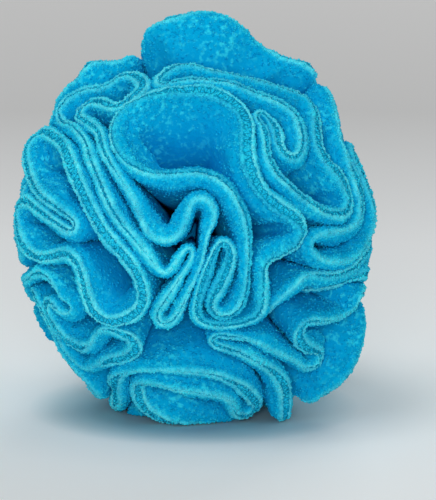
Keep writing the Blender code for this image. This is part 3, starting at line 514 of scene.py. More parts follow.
def all_rims():
    """The rim curve of each fleece circle, in the front frame."""
    tables = [
        pocket_rim_shares, s_fold_rim_shares, tongue_rim_shares, corner_rim_shares,
        list(flap_front_shares) + leg_rows(FLAP_LEGS),
        list(right_front_shares) + leg_rows(RIGHT_LEGS),
        list(wedge_front_shares) + leg_rows(WEDGE_LEGS),
        list(lower_right_front_shares) + leg_rows(LOWER_RIGHT_LEGS),
        list(bottom_front_shares) + leg_rows(BOTTOM_LEGS),
        list(lower_left_front_shares) + leg_rows(LOWER_LEFT_LEGS),
        list(upper_left_front_shares) + leg_rows(UPPER_LEFT_LEGS),
        list(left_front_shares) + leg_rows(LEFT_LEGS),
    ]
    curves = [smooth_loop([rim_point(row) for row in table]) for table in tables]
    taken = np.vstack([unit(curve) for curve in curves])
    middles = [front_direction(row[0], row[1]) for row in ROSETTES]
    for order, row in enumerate(ROSETTES):
        others = [middle for place, middle in enumerate(middles) if place != order]
        curves.append(smooth_loop(rosette_points(*row, taken, others)))
    return [even_steps(curve, rim_step_share) for curve in curves]


def half_widths(rims):
    """Sideways direction and half thickness on both sides of each rim point, less where folds crowd."""
    gap = 0.5 * RIM_GAP / BALL_RADIUS
    nominal = 0.5 * FLEECE_THICK / BALL_RADIUS
    result = []
    for own, ways in enumerate(rims):
        along = unit(np.roll(ways, -1, axis=0) - np.roll(ways, 1, axis=0))
        side = unit(np.cross(ways, along))
        count = len(ways)
        bend = (unit(np.roll(ways, -1, axis=0) - ways) - unit(ways - np.roll(ways, 1, axis=0)))
        stride = np.linalg.norm(np.roll(ways, -1, axis=0) - ways, axis=1)
        curving = (bend * side).sum(axis=1) / stride
        widths = []
        swells = []
        for way in (1.0, -1.0):
            room = np.full(count, SWELL_REACH)
            for other, points in enumerate(rims):
                offset = points[None, :, :] - ways[:, None, :]
                distance = np.linalg.norm(offset, axis=2)
                facing = way * (offset * side[:, None, :]).sum(axis=2) > facing_share * distance
                if other == own:
                    steps = np.abs(np.arange(count)[None, :] - np.arange(count)[:, None])
                    steps = np.minimum(steps, count - steps) * stride.mean()
                    facing &= steps > far_side_share * distance
                distance = np.where(facing, distance, FAR)
                room = np.minimum(room, distance.min(axis=1) / 2.0 - gap)
            inward = np.maximum(way * curving, TINY)
            room = np.minimum(room, bend_room_share / inward)
            room = ring_low(np.maximum(room, gap), NARROW_STEPS)
            widths.append(ring_blur(np.minimum(room, nominal), *WIDTH_BLUR))
            room = ring_low(room, SWELL_STEPS)
            swells.append(np.maximum(ring_blur(room, *WIDTH_BLUR) - widths[-1], 0.0))
        result.append((side, *widths, *swells))
    return result


def to_world(points):
    """From the front frame to the world's directions: the view axis is tipped down by FRONT_TIP_DEG."""
    tip = math.radians(FRONT_TIP_DEG)
    x, depth, up = points[..., 0], points[..., 1], points[..., 2]
    return np.stack([x, depth * math.cos(tip) + up * math.sin(tip),
                     up * math.cos(tip) - depth * math.sin(tip)], axis=-1)


def rest_on_floor(ways, radius):
    """Radius along world directions: the ball sags onto a flat patch of floor and bulges beside it."""
    drop = -ways[:, 2]
    slope = np.degrees(np.arccos(np.clip(drop, -1.0, 1.0)))
    floor_reach = floor_share / np.maximum(drop, 0.1)
    ease = 0.5 + 0.5 * np.cos(math.pi * (slope - FLAT_PATCH_DEG) / (BULGE_END_DEG - FLAT_PATCH_DEG))
    bulge = floor_share / math.cos(math.radians(FLAT_PATCH_DEG)) - floor_share
    beside = np.minimum(np.maximum(radius, floor_share + bulge * ease), floor_reach)
    reach = np.where(slope < BULGE_END_DEG, beside, radius)
    return np.where(slope < FLAT_PATCH_DEG, floor_reach, reach)


def new_object(name, data):
    """A new object in the scene."""
    obj = bpy.data.objects.new(name, data)
    bpy.context.scene.collection.objects.link(obj)
    return obj


def mesh_object(name, verts, faces, materials, attributes=None):
    """Closed mesh piece with outward normals at the origin, with its vertex attributes."""
    mesh = bpy.data.meshes.new(name)
    mesh.from_pydata(np.asarray(verts).tolist(), [], faces)
    form = bmesh.new()
    form.from_mesh(mesh)
    if form.calc_volume(signed=True) < 0.0:
        bmesh.ops.reverse_faces(form, faces=form.faces[:])
    form.to_mesh(mesh)
    form.free()
    mesh.shade_smooth()
    for key, values in (attributes or {}).items():
        layer = mesh.attributes.new(key, "FLOAT", "POINT")
        layer.data.foreach_set("value", np.asarray(values, np.float32))
    for material in materials:
        mesh.materials.append(material)
    return new_object(name, mesh)


def full_section():
    """The section of a fleece wall from foot to foot: side share, depth, distance across, pile."""
    half = []
    run = 0.0
    past = (0.0, 0.0)
    for share, pile in crown_rows:
        depth = CROWN_DEEP * (1.0 - (1.0 - share ** CROWN_POWER) ** (1.0 / CROWN_POWER))
        spot = (share * 0.5 * FLEECE_THICK, depth)
        run += math.dist(spot, past)
        past = spot
        half.append((share, depth, run / MM, pile))
    for depth, pile in face_rows:
        half.append((1.0, depth * MM, run / MM + depth - CROWN_DEEP / MM, pile))
    half.append((1.0, None, half[-1][2] + FOOT_RUN_MM, 0.0))
    other = [(-share, depth, -across, pile) for share, depth, across, pile in half]
    return other[:0:-1] + half


def middle_triangles(ways):
    """Triangles that fill the loop, and the loop's deepest point as the last index."""
    centre = unit(ways.mean(axis=0))
    across = unit(np.cross(centre, np.array(ODD_WAY)))
    upward = np.cross(centre, across)
    flat = np.column_stack([ways @ across, ways @ upward]) / (ways @ centre)[:, None]
    tie = deepest_spot(flat)
    count = len(flat)
    coords = [Vector(point) for point in flat] + [Vector(tie)]
    found = delaunay_2d_cdt(coords, [], [list(range(count))], 1, LEAST_GAP)
    places = [origin[0] for origin in found[3]]
    triangles = [[places[index] for index in face] for face in found[2]]
    return triangles, unit(centre + across * tie[0] + upward * tie[1])


def deepest_spot(flat):
    """Spot inside a flat outline that lies farthest from its edge, found on an even grid."""
    low = flat.min(axis=0)
    high = flat.max(axis=0)
    ahead = np.roll(flat, -1, axis=0) - flat
    best = (0.0, flat.mean(axis=0))
    for row in range(1, SPOT_GRID):
        for column in range(1, SPOT_GRID):
            spot = low + (high - low) * np.array([column, row]) / SPOT_GRID
            crossing = (flat[:, 1] > spot[1]) != (flat[:, 1] + ahead[:, 1] > spot[1])
            with np.errstate(divide="ignore", invalid="ignore"):
                level = flat[:, 0] + ahead[:, 0] * (spot[1] - flat[:, 1]) / ahead[:, 1]
            if np.count_nonzero(crossing & (level > spot[0])) % 2 == 0:
                continue
            depth = np.linalg.norm(flat - spot, axis=1).min() / (1.0 + spot @ spot)
            if depth > best[0]:
                best = (depth, spot)
    return best[1]


def spherical_area(ring, centre):
    """Twice the area of a ring seen from outside its middle."""
    return abs((np.cross(ring, np.roll(ring, -1, axis=0)) @ centre).sum())


def grid_normals(grid):
    """Normal at each point of a grid whose first axis is closed."""
    along = np.roll(grid, -1, axis=0) - np.roll(grid, 1, axis=0)
    across = np.gradient(grid, axis=1)
    return unit(np.cross(along, across))


def noise_at(grid, size, shift):
    """Smooth noise from -1 to 1 at each point, with features of the given size."""
    flat = grid.reshape(-1, 3) / size + shift
    return np.array([noise.noise(Vector(spot)) for spot in flat]).reshape(grid.shape[:-1])


def ring_noise(run, wave, shift):
    """Smooth noise from about -1 to 1 along a closed run, the same at its two ends."""
    total = run[-1] + run[1]
    turn = 2.0 * math.pi * run / total
    reach = total / (2.0 * math.pi * wave)
    spots = np.column_stack([reach * np.cos(turn), reach * np.sin(turn), np.full(len(run), shift)])
    return RING_NOISE_GAIN * np.array([noise.noise(Vector(spot)) for spot in spots])


def seam_course(order, curve, run):
    """Where the seam runs across the rim, in mm from the rim's middle, and half its width in mm."""
    marks = seam_marks.get(order)
    if marks is None:
        seam = ring_noise(run, SEAM_WAVE, SEAM_SHIFT * order) * SEAM_SWING_MM
        open_share = open_shares[0] + open_shares[1] * ring_noise(run, SEAM_WAVE, OPEN_SHIFT * order)
        return seam, SEAM_HALF_MM * np.clip(open_share, SEAM_SHUT_SHARE, 1.0)
    rows = []
    for across, up, middle, half in marks:
        near = np.hypot(curve[:, 0] - across, curve[:, 2] - up) + (curve[:, 1] > 0.0)
        rows.append((int(near.argmin()), middle, half))
    rows.sort()
    places, middles, halves = (list(column) for column in zip(*rows))
    count = len(curve)
    steps = np.arange(count)
    seam, seam_half = (np.interp(steps, places, values, period=count) for values in (middles, halves))
    seam = seam + SEAM_WANDER_MM * ring_noise(run, SEAM_WAVE, SEAM_SHIFT * order)
    return ring_blur(seam, *SEAM_BLUR), ring_blur(seam_half, *SEAM_BLUR)


def fleece_faces(count, across, triangles):
    """Faces of a fleece: its wall as quads, the hem at its foot, and both sides of its middle."""
    base = count * across
    faces = []
    for index in range(count):
        ahead = (index + 1) % count
        near, far = index * across, ahead * across
        for k in range(across - 1):
            faces.append((near + k, near + k + 1, far + k + 1, far + k))
        faces.append((near, far, base + ahead, base + index))
    for corners in triangles:
        faces.append([base + k for k in corners[::-1]])
        faces.append([base + count + 1 if k == count else k * across + across - 1 for k in corners])
    return faces


def add_fleece(order, curve, frame, ball_centre, material):
    """One double-sided fleece circle: its folded wall, and its middle pulled down to the core."""
    side, left, right, left_swell, right_swell = frame
    ways = unit(curve)
    radius = np.linalg.norm(curve, axis=1)
    centre = unit(ways.mean(axis=0))
    outward = spherical_area(unit(ways + side * left[:, None]), centre)
    if outward > spherical_area(unit(ways - side * right[:, None]), centre):
        side, left, right, left_swell, right_swell = -side, right, left, right_swell, left_swell
    rows = full_section()
    nominal = 0.5 * FLEECE_THICK / BALL_RADIUS
    squeeze = np.clip(0.5 * (left + right) / nominal, squeeze_share, 1.0)
    run = np.arange(len(ways)) * rim_step_share * BALL_RADIUS
    height = ring_noise(run, RIM_WAVE, RIM_SHIFT * order) * RIM_SWING + rim_rise[order - 1] * MM
    seam, seam_half = seam_course(order, curve, run)
    grid = np.zeros((len(ways), len(rows), 3))
    for place, (share, depth, _, _) in enumerate(rows):
        half = left if share > 0.0 else right
        if depth and depth > SWELL_START:
            swell = left_swell if share > 0.0 else right_swell
            slope = SWELL_SLOPE * lean_shares[order - 1] * (1.0 + SLIT_SHARE * np.exp(-swell / SLIT_ROOM))
            half = half + np.minimum(swell, slope * (depth - SWELL_START) / BALL_RADIUS)
        spread = to_world(unit(ways + side * (half * share)[:, None]))
        if depth is None:
            reach = np.full(len(ways), foot_share)
        else:
            drop = depth * (squeeze if depth < 2.0 * CROWN_DEEP else 1.0)
            drop = drop - height * math.exp(-depth / RISE_FADE)
            reach = rest_on_floor(spread, radius) - drop / BALL_RADIUS
        grid[:, place] = spread * reach[:, None] * BALL_RADIUS
    grid += ball_centre
    normals = grid_normals(grid)
    if (normals[:, len(rows) // 2] * to_world(ways)).sum() < 0.0:
        normals = -normals
    pile = np.array([row[3] for row in rows])
    across_mm = np.array([row[2] for row in rows])
    from_seam = np.abs(across_mm[None, :] - seam[:, None]) - seam_half[:, None]
    lift = LUMP_DEEP * noise_at(grid, LUMP_SIZE, LUMP_SHIFT * order) * np.minimum(1.0, 4.0 * pile)
    lift += NAP_DEEP * noise_at(grid, NAP_SIZE, NAP_SHIFT * order) * pile
    lift -= SEAM_DEEP * np.clip(0.5 - from_seam, 0.0, 1.0)
    lift += LIP_HIGH * np.exp(-((from_seam - LIP_MIDDLE_MM) / LIP_REACH_MM) ** 2)
    grid += normals * lift[:, :, None]
    grid[:, :, 2] = np.maximum(grid[:, :, 2], FLOOR_CLEAR)
    count, across = len(ways), len(rows)
    inner_way = unit(ways + side * left[:, None])
    low_foot = to_world(inner_way) * (foot_share * BALL_RADIUS) + ball_centre
    grid[:, -1] = low_foot + to_world(inner_way) * MIDDLE_THICK
    triangles, tie = middle_triangles(inner_way)
    tie = to_world(tie)
    tie_low = tie * (CORE_RADIUS + RIM_GAP) + ball_centre
    verts = np.vstack([grid.reshape(-1, 3), low_foot, [tie_low, tie_low + tie * MIDDLE_THICK]])
    values = {"across_mm": np.tile(across_mm, count), "seam_mm": np.repeat(seam, across),
              "seam_half_mm": np.repeat(seam_half, across), "pile": np.tile(pile, count),
              "inner_highlight": np.full(count * across, inner_highlight_shares[order - 1])}
    ends = {"across_mm": across_mm[-1], "seam_mm": 0.0, "seam_half_mm": 0.0, "pile": 0.0, "inner_highlight": 1.0}
    values = {key: np.append(given, np.full(count + 2, ends[key])) for key, given in values.items()}
    faces = fleece_faces(count, across, triangles)
    obj = mesh_object("ruffle_%02d_fleece" % order, verts, faces, [material], values)
    return obj, grid, normals, seam, seam_half, across_mm


def set_inputs(node, inputs):
    """Gives each input a value, or a link from a socket or from the first output in use of a node."""
    for key, value in inputs.items():
        if isinstance(value, bpy.types.Node):
            value = next(socket for socket in value.outputs if socket.enabled)
        if isinstance(value, bpy.types.NodeSocket):
            node.id_data.links.new(value, node.inputs[key])
        else:
            node.inputs[key].default_value = value


def add_node(tree, kind, inputs=None, **settings):
    """Adds a node to a tree, with its settings and its inputs."""
    node = tree.nodes.new(kind)
    for key, value in settings.items():
        setattr(node, key, value)
    set_inputs(node, inputs or {})
    return node


def linear(code):
    """Linear colour of an sRGB hex value."""
    parts = [int(code[place:place + 2], 16) / 255.0 for place in (1, 3, 5)]
    return tuple(p / 12.92 if p <= 0.04045 else ((p + 0.055) / 1.055) ** 2.4 for p in parts) + (1.0,)


def new_material(name):
    """A new node material, its tree and its Principled shader."""
    material = bpy.data.materials.new(name)
    material.use_nodes = True
    return material, material.node_tree, material.node_tree.nodes["Principled BSDF"]


def set_stops(node, stops):
    """Gives a colour ramp its stops from (place, hex) rows."""
    ramp = node.color_ramp
    while len(ramp.elements) < len(stops):
        ramp.elements.new(1.0)
    for element, (place, code) in zip(ramp.elements, stops):
        element.position = place
        element.color = linear(code)
    return node


def plush_fleece():
    """Double-sided polyester plush, brushed and cut: a painted highlight on the rims' crowns and lips,
    where light catches the nap, a teal knitted back that shows at the seam's edges with painted shade in
    its groove, faces painted a little darker deeper down as shade, and a soft mottle of nap on the faces."""
    material, tree, shader = new_material("double_plush_fleece")
    place = add_node(tree, "ShaderNodeTexCoord").outputs["Object"]
    across, seam, half, tint, inner_highlight = (
        add_node(tree, "ShaderNodeAttribute", attribute_name=key).outputs["Fac"]
        for key in ("across_mm", "seam_mm", "seam_half_mm", "tint", "inner_highlight"))
    nap, tuft, lips, shade = (
        add_node(tree, "ShaderNodeTexNoise", {"Vector": place, "Scale": 1.0 / (size * MM), "Detail": 2.0})
        for size in (NAP_PATCH_MM, TUFT_PATCH_MM, LIP_PATCH_MM, TONE_PATCH_MM))
    ragged = add_node(tree, "ShaderNodeMath", {0: tuft, 1: RAGGED_MM, 2: -0.5 * RAGGED_MM},
                      operation="MULTIPLY_ADD")
    aside = add_node(tree, "ShaderNodeMath", {0: across, 1: seam}, operation="SUBTRACT")
    away = add_node(tree, "ShaderNodeMath", {0: aside}, operation="ABSOLUTE")
    beyond = add_node(tree, "ShaderNodeMath", {0: away, 1: half}, operation="SUBTRACT")
    frayed = add_node(tree, "ShaderNodeMath", {0: beyond, 1: ragged}, operation="ADD")
    spread = add_node(tree, "ShaderNodeMapRange",
                      {"Value": frayed, "From Min": EDGE_FROM_MM, "From Max": EDGE_TO_MM})
    span = EDGE_TO_MM - EDGE_FROM_MM
    # Two ramps of painted highlight and shade across the rim, one strong and one calm, mixed below.
    ramp, calm = (
        set_stops(add_node(tree, "ShaderNodeValToRGB", {"Fac": spread}),
                  [((mm - EDGE_FROM_MM) / span, code) for mm, code in colours])
        for colours in (edge_colours, calm_edge_colours))
    # Where the painted highlight on the lips is held back: on each circle's inner side by its share, and in
    # random patches.
    inside = add_node(tree, "ShaderNodeMapRange", {"Value": aside, "From Min": -0.4, "From Max": 0.4})
    calmer = add_node(tree, "ShaderNodeMath", {0: 1.0, 1: inner_highlight}, operation="SUBTRACT")
    inner = add_node(tree, "ShaderNodeMath", {0: inside, 1: calmer}, operation="MULTIPLY")
    patchy = add_node(tree, "ShaderNodeMapRange",
                      {"Value": lips, "From Min": 0.40, "From Max": 0.68, "To Max": 0.6})
    calmed = add_node(tree, "ShaderNodeMath", {0: inner, 1: patchy}, operation="MAXIMUM")
    edge = add_node(tree, "ShaderNodeMix", {0: calmed, 6: ramp, 7: calm}, data_type="RGBA")
    spots = add_node(tree, "ShaderNodeMapRange",
                     {"Value": nap, "From Min": 0.48, "From Max": 0.70, "To Max": 0.40},
                     interpolation_type="SMOOTHSTEP")
    brushed = add_node(tree, "ShaderNodeMapRange",
                       {"Value": shade, "From Min": 0.40, "From Max": 0.56, "To Min": 1.9, "To Max": 0.6},
                       interpolation_type="SMOOTHSTEP")
    patched = add_node(tree, "ShaderNodeMath", {0: spots, 1: brushed}, operation="MULTIPLY")
    strength = add_node(tree, "ShaderNodeMapRange",
                        {"Value": beyond, "From Min": TINT_FULL_MM, "From Max": TINT_FACE_MM,
                         "To Min": 1.0, "To Max": TINT_FACE_SHARE})
    tinted = add_node(tree, "ShaderNodeMath", {0: tint, 1: strength}, operation="MULTIPLY")
    paler = add_node(tree, "ShaderNodeMath", {0: patched, 1: tinted}, operation="ADD", use_clamp=True)
    speckled = add_node(tree, "ShaderNodeMix", {0: paler, 6: edge, 7: linear(NAP_HEX)}, data_type="RGBA")
    matted = add_node(tree, "ShaderNodeMath", {0: tinted, 1: -1.0}, operation="MULTIPLY", use_clamp=True)
    flecked = add_node(tree, "ShaderNodeMix", {0: matted, 6: speckled, 7: linear(FLECK_HEX)},
                       data_type="RGBA", blend_type="MULTIPLY")
    wear = add_node(tree, "ShaderNodeMapRange",
                    {"Value": shade, "From Min": 0.35, "From Max": 0.70, "To Max": 0.30})
    toned = add_node(tree, "ShaderNodeMix", {0: wear, 6: flecked, 7: linear(DEEP_HEX)},
                     data_type="RGBA", blend_type="MULTIPLY")
    height = add_node(tree, "ShaderNodeMath", {0: nap, 1: tuft}, operation="ADD")
    bump = add_node(tree, "ShaderNodeBump", {"Strength": 0.6, "Distance": 0.5 * MM, "Height": height})
    set_inputs(shader, {
        "Base Color": toned, "Normal": bump, "Roughness": 0.95, "IOR": 1.45, "Specular IOR Level": 0.05,
        "Sheen Weight": 0.12, "Sheen Roughness": 0.5, "Sheen Tint": linear(SHEEN_HEX)})
    return material


def polyester_thread():
    """Textured polyester overlock thread: a matt strand, a shade greener than the cloth."""
    material, tree, shader = new_material("overlock_thread")
    place = add_node(tree, "ShaderNodeTexCoord").outputs["Object"]
    twist = add_node(tree, "ShaderNodeTexNoise", {"Vector": place, "Scale": 1.0 / (THREAD_TWIST_MM * MM)})
    mixed = add_node(tree, "ShaderNodeMix", {0: twist, 6: linear(THREAD_HEX), 7: linear(THREAD_PALE_HEX)},
                     data_type="RGBA")
    set_inputs(shader, {"Base Color": mixed, "Roughness": 0.85, "Specular IOR Level": 0.05})
    return material


def tree_with_sockets(name, sockets):
    """A Geometry Nodes tree with a geometry input and output and the named inputs."""
    tree = bpy.data.node_groups.new(name, "GeometryNodeTree")
    for label, kind in (("Geometry", "Geometry"),) + sockets:
        tree.interface.new_socket(label, in_out="INPUT", socket_type="NodeSocket" + kind)
    tree.interface.new_socket("Geometry", in_out="OUTPUT", socket_type="NodeSocketGeometry")
    return tree, tree.nodes.new("NodeGroupInput").outputs, tree.nodes.new("NodeGroupOutput")


def pile_tree():
    """Scatters closed slender tufts over the fleece, thicker where its pile attribute is higher."""
    tree, given, result = tree_with_sockets("pile_tufts", (
        ("Tufts per square metre", "Float"), ("Tuft length", "Float"), ("Tuft radius", "Float"),
        ("Lean", "Float"), ("Seed", "Int"), ("Finish", "Material")))
    seed, lean, radius = given["Seed"], given["Lean"], given["Tuft radius"]
    pile = add_node(tree, "GeometryNodeInputNamedAttribute", {"Name": "pile"})
    density = add_node(tree, "ShaderNodeMath", {0: pile, 1: given["Tufts per square metre"]},
                       operation="MULTIPLY")
    spots = add_node(tree, "GeometryNodeDistributePointsOnFaces",
                     {"Mesh": given["Geometry"], "Density": density, "Seed": seed})
    tuft = add_node(tree, "GeometryNodeMeshUVSphere", {"Segments": 4, "Rings": 2})
    slim = add_node(tree, "ShaderNodeCombineXYZ", {0: radius, 1: radius, 2: given["Tuft length"]})
    shaped = add_node(tree, "GeometryNodeTransform", {"Geometry": tuft, "Scale": slim})
    back = add_node(tree, "ShaderNodeMath", {0: lean, 1: -1.0}, operation="MULTIPLY")
    low = add_node(tree, "ShaderNodeCombineXYZ", {0: back, 1: back})
    high = add_node(tree, "ShaderNodeCombineXYZ", {0: lean, 1: lean, 2: TUFT_TURN})
    leant = add_node(tree, "FunctionNodeRandomValue", {0: low, 1: high, "Seed": seed},
                     data_type="FLOAT_VECTOR")
    turned = add_node(tree, "FunctionNodeRotateRotation",
                      {"Rotation": spots.outputs["Rotation"], "Rotate By": leant}, rotation_space="LOCAL")
    size = add_node(tree, "FunctionNodeRandomValue",
                    {0: (0.8, 0.8, 0.5), 1: (1.3, 1.3, 1.4), "Seed": seed}, data_type="FLOAT_VECTOR")
    placed = add_node(tree, "GeometryNodeInstanceOnPoints",
                      {"Points": spots, "Instance": shaped, "Rotation": turned, "Scale": size})
    shade = add_node(tree, "FunctionNodeRandomValue", {2: TUFT_TINT[0], 3: TUFT_TINT[1], "Seed": seed},
                     data_type="FLOAT")
    tinted = add_node(tree, "GeometryNodeStoreNamedAttribute",
                      {"Name": "tint", "Geometry": placed, "Value": shade}, domain="INSTANCE")
    real = add_node(tree, "GeometryNodeRealizeInstances", {"Geometry": tinted})
    soft = add_node(tree, "GeometryNodeSetShadeSmooth", {"Geometry": real})
    painted = add_node(tree, "GeometryNodeSetMaterial", {"Geometry": soft, "Material": given["Finish"]})
    set_inputs(result, {0: painted})
    return tree


def stitch_tree():
    """Sets one stitch after another along a closed path, each turned to the path and to its up vector."""
    tree, given, result = tree_with_sockets("stitches", (
        ("Pitch", "Float"), ("Stitch", "Object"), ("Finish", "Material")))
    line = add_node(tree, "GeometryNodeMeshToCurve", {"Mesh": given["Geometry"]})
    even = add_node(tree, "GeometryNodeResampleCurve", {"Curve": line, "Length": given["Pitch"]},
                    mode="LENGTH")
    way = add_node(tree, "GeometryNodeInputTangent")
    up = add_node(tree, "GeometryNodeInputNamedAttribute", {"Name": "up"}, data_type="FLOAT_VECTOR")
    turn = add_node(tree, "FunctionNodeAxesToRotation", {0: way, 1: up}, primary_axis="X",
                    secondary_axis="Z")
    stitch = add_node(tree, "GeometryNodeObjectInfo", {"Object": given["Stitch"]})
    placed = add_node(tree, "GeometryNodeInstanceOnPoints",
                      {"Points": even, "Instance": stitch.outputs["Geometry"], "Rotation": turn})
    real = add_node(tree, "GeometryNodeRealizeInstances", {"Geometry": placed})
    painted = add_node(tree, "GeometryNodeSetMaterial", {"Geometry": real, "Material": given["Finish"]})
    set_inputs(result, {0: painted})
    return tree


def grown(name, source, tree, values):
    """Plain mesh of what a Geometry Nodes tree makes from a source object."""
    modifier = source.modifiers.new("grow", "NODES")
    modifier.node_group = tree
    for item in tree.interface.items_tree:
        if item.in_out == "INPUT" and item.name in values:
            modifier[item.identifier] = values[item.name]
    seen = source.evaluated_get(bpy.context.evaluated_depsgraph_get())
    mesh = bpy.data.meshes.new_from_object(seen)
    source.modifiers.remove(modifier)
    mesh.name = name
    return new_object(name, mesh)


def tube(path, normals, radius, sides, closed):
    """Vertices and faces of a round tube along a path, with capped ends where the path is open."""
    count = len(path)
    along = np.roll(path, -1, axis=0) - np.roll(path, 1, axis=0)
    if not closed:
        along = np.gradient(path, axis=0)
    along = unit(along)
    across = unit(np.cross(along, normals))
    upward = np.cross(across, along)
    verts = []
    for k in range(sides):
        angle = 2.0 * math.pi * k / sides
        verts.append(path + radius * (across * math.cos(angle) + upward * math.sin(angle)))
    verts = np.stack(verts, axis=1).reshape(-1, 3)
    faces = []
    for index in range(count if closed else count - 1):
        near, far = index * sides, (index + 1) % count * sides
        for k in range(sides):
            after = (k + 1) % sides
            faces.append((near + k, near + after, far + after, far + k))
    if not closed:
        faces.append(tuple(range(sides))[::-1])
        faces.append(tuple((count - 1) * sides + k for k in range(sides)))
    return verts, faces


def path_object(name, path, ups):
    """A closed line of edges with an up vector at each point, for the stitch tree."""
    mesh = bpy.data.meshes.new(name)
    count = len(path)
    mesh.from_pydata(path.tolist(), [(index, (index + 1) % count) for index in range(count)], [])
    layer = mesh.attributes.new("up", "FLOAT_VECTOR", "POINT")
    layer.data.foreach_set("vector", ups.astype(np.float32).ravel())
    return new_object(name, mesh)


def single_stitch(name, length, height, thread_radius, material):
    """One straight stitch, a short thread that dips into the cloth at both ends."""
    steps = np.linspace(-1.0, 1.0, STITCH_STEPS)
    rise = height * (1.0 - steps ** 4) - thread_radius
    path = np.column_stack([steps * 0.5 * length, np.zeros(STITCH_STEPS), rise])
    ups = np.tile([0.0, 0.0, 1.0], (STITCH_STEPS, 1))
    verts, faces = tube(path, ups, thread_radius, STITCH_SIDES, False)
    return mesh_object(name, verts, faces, [material])


def on_section(grid, across_mm, wanted):
    """Points of each station's section at a wanted distance across it, one per station."""
    place = np.interp(wanted, across_mm, np.arange(len(across_mm)))
    low = np.clip(place.astype(int), 0, len(across_mm) - 2)
    part = (place - low)[:, None]
    index = np.arange(len(grid))
    return grid[index, low] * (1.0 - part) + grid[index, low + 1] * part


def add_threads(order, fleece, stitch, tree, material):
    """The overlock thread that zigzags along the seam of one fleece circle, and a stitch line on it."""
    _, grid, normals, seam, seam_half, across_mm = fleece
    run = np.arange(len(grid)) * rim_step_share * BALL_RADIUS
    waves = round(run[-1] / OVERLOCK_PITCH)
    count = waves * LOOPER_STEPS
    wanted = np.linspace(0.0, len(grid), count, endpoint=False)
    turn = 2.0 * math.pi * np.arange(count) / LOOPER_STEPS
    low = wanted.astype(int)
    part = (wanted - low)[:, None]
    ahead = (low + 1) % len(grid)
    offset = np.interp(wanted, np.arange(len(grid)), seam) + np.sin(turn) * np.interp(
        wanted, np.arange(len(grid)), seam_half)
    path = (on_section(grid[low], across_mm, offset) * (1.0 - part)
            + on_section(grid[ahead], across_mm, offset) * part)
    ups = unit(on_section(normals[low], across_mm, offset))
    sunk = THREAD_SUNK * np.clip(0.5 - 2.0 * seam_half, 0.0, 1.0)
    lift = THREAD_RADIUS - np.interp(wanted, np.arange(len(grid)), sunk)
    verts, faces = tube(path + ups * lift[:, None], ups, THREAD_RADIUS, OVERLOCK_SIDES, True)
    pieces = [mesh_object("ruffle_%02d_overlock" % order, verts, faces, [material])]
    line = on_section(grid, across_mm, seam)
    ups = unit(on_section(normals, across_mm, seam))
    path = path_object("stitch_path", line - ups * sunk[:, None], ups)
    pieces.append(grown("ruffle_%02d_stitches" % order, path, tree,
                        {"Pitch": STITCH_PITCH, "Stitch": stitch, "Finish": material}))
    bpy.data.objects.remove(path)
    return pieces


def woven_cover():
    """Thin woven polyester of the core: fine crossed yarns in the cloth's own blue."""
    material, tree, shader = new_material("woven_core_cloth")
    place = add_node(tree, "ShaderNodeTexCoord").outputs["Object"]
    warp, weft = (
        add_node(tree, "ShaderNodeTexWave",
                 {"Vector": place, "Scale": WAVE_REPEAT / YARN_PITCH, "Distortion": 0.6},
                 bands_direction=way).outputs["Fac"] for way in ("X", "Z"))
    weave = add_node(tree, "ShaderNodeMath", {0: warp, 1: weft}, operation="MULTIPLY")
    mixed = add_node(tree, "ShaderNodeMix", {0: weave, 6: linear(COVER_SHADE_HEX), 7: linear(COVER_HEX)},
                     data_type="RGBA")
    bump = add_node(tree, "ShaderNodeBump", {"Strength": 0.4, "Distance": 0.2 * MM, "Height": weave})
    set_inputs(shader, {"Base Color": mixed, "Normal": bump, "Roughness": 0.8, "Sheen Weight": 0.15})
    return material


def fibre_fill():
    """Loose polyester stuffing: off-white matted fibre, uneven all over."""
    material, tree, shader = new_material("polyester_fibre_fill")
    place = add_node(tree, "ShaderNodeTexCoord").outputs["Object"]
    matted = add_node(tree, "ShaderNodeTexNoise", {
        "Vector": place, "Scale": 1.0 / (FIBRE_PATCH_MM * MM), "Detail": 6.0, "Distortion": 1.5})
    mixed = add_node(tree, "ShaderNodeMix", {0: matted, 6: linear(FIBRE_SHADE_HEX), 7: linear(FIBRE_HEX)},
                     data_type="RGBA")
    bump = add_node(tree, "ShaderNodeBump", {"Strength": 0.8, "Distance": 0.6 * MM, "Height": matted})
    set_inputs(shader, {"Base Color": mixed, "Normal": bump, "Roughness": 0.95, "Sheen Weight": 0.3})
    return material


def turned_body(name, rows, closed, centre, material):
    """Body about the upright axis through a centre, from rows of radius, height and depth of gathers."""
    verts = []
    rings = []
    for reach, height, gather in rows:
        if reach == 0.0:
            rings.append([len(verts)] * CORE_SIDES)
            verts.append(centre + np.array([0.0, 0.0, height]))
            continue
        rings.append(list(range(len(verts), len(verts) + CORE_SIDES)))
        for index in range(CORE_SIDES):
            angle = 2.0 * math.pi * index / CORE_SIDES
            pulled = reach - gather * (0.5 + 0.5 * math.cos(CORE_GATHERS * angle))
            verts.append(centre + np.array([pulled * math.cos(angle), pulled * math.sin(angle), height]))
    faces = []
    for lower, upper in zip(rings, rings[1:] + rings[:1] if closed else rings[1:]):
        for index in range(CORE_SIDES):
            ahead = (index + 1) % CORE_SIDES
            face = [lower[index], lower[ahead], upper[ahead], upper[index]]
            face = [vert for place, vert in enumerate(face) if vert != face[place - 1]]
            if len(face) > 2:
                faces.append(face)
    return mesh_object(name, verts, faces, [material])


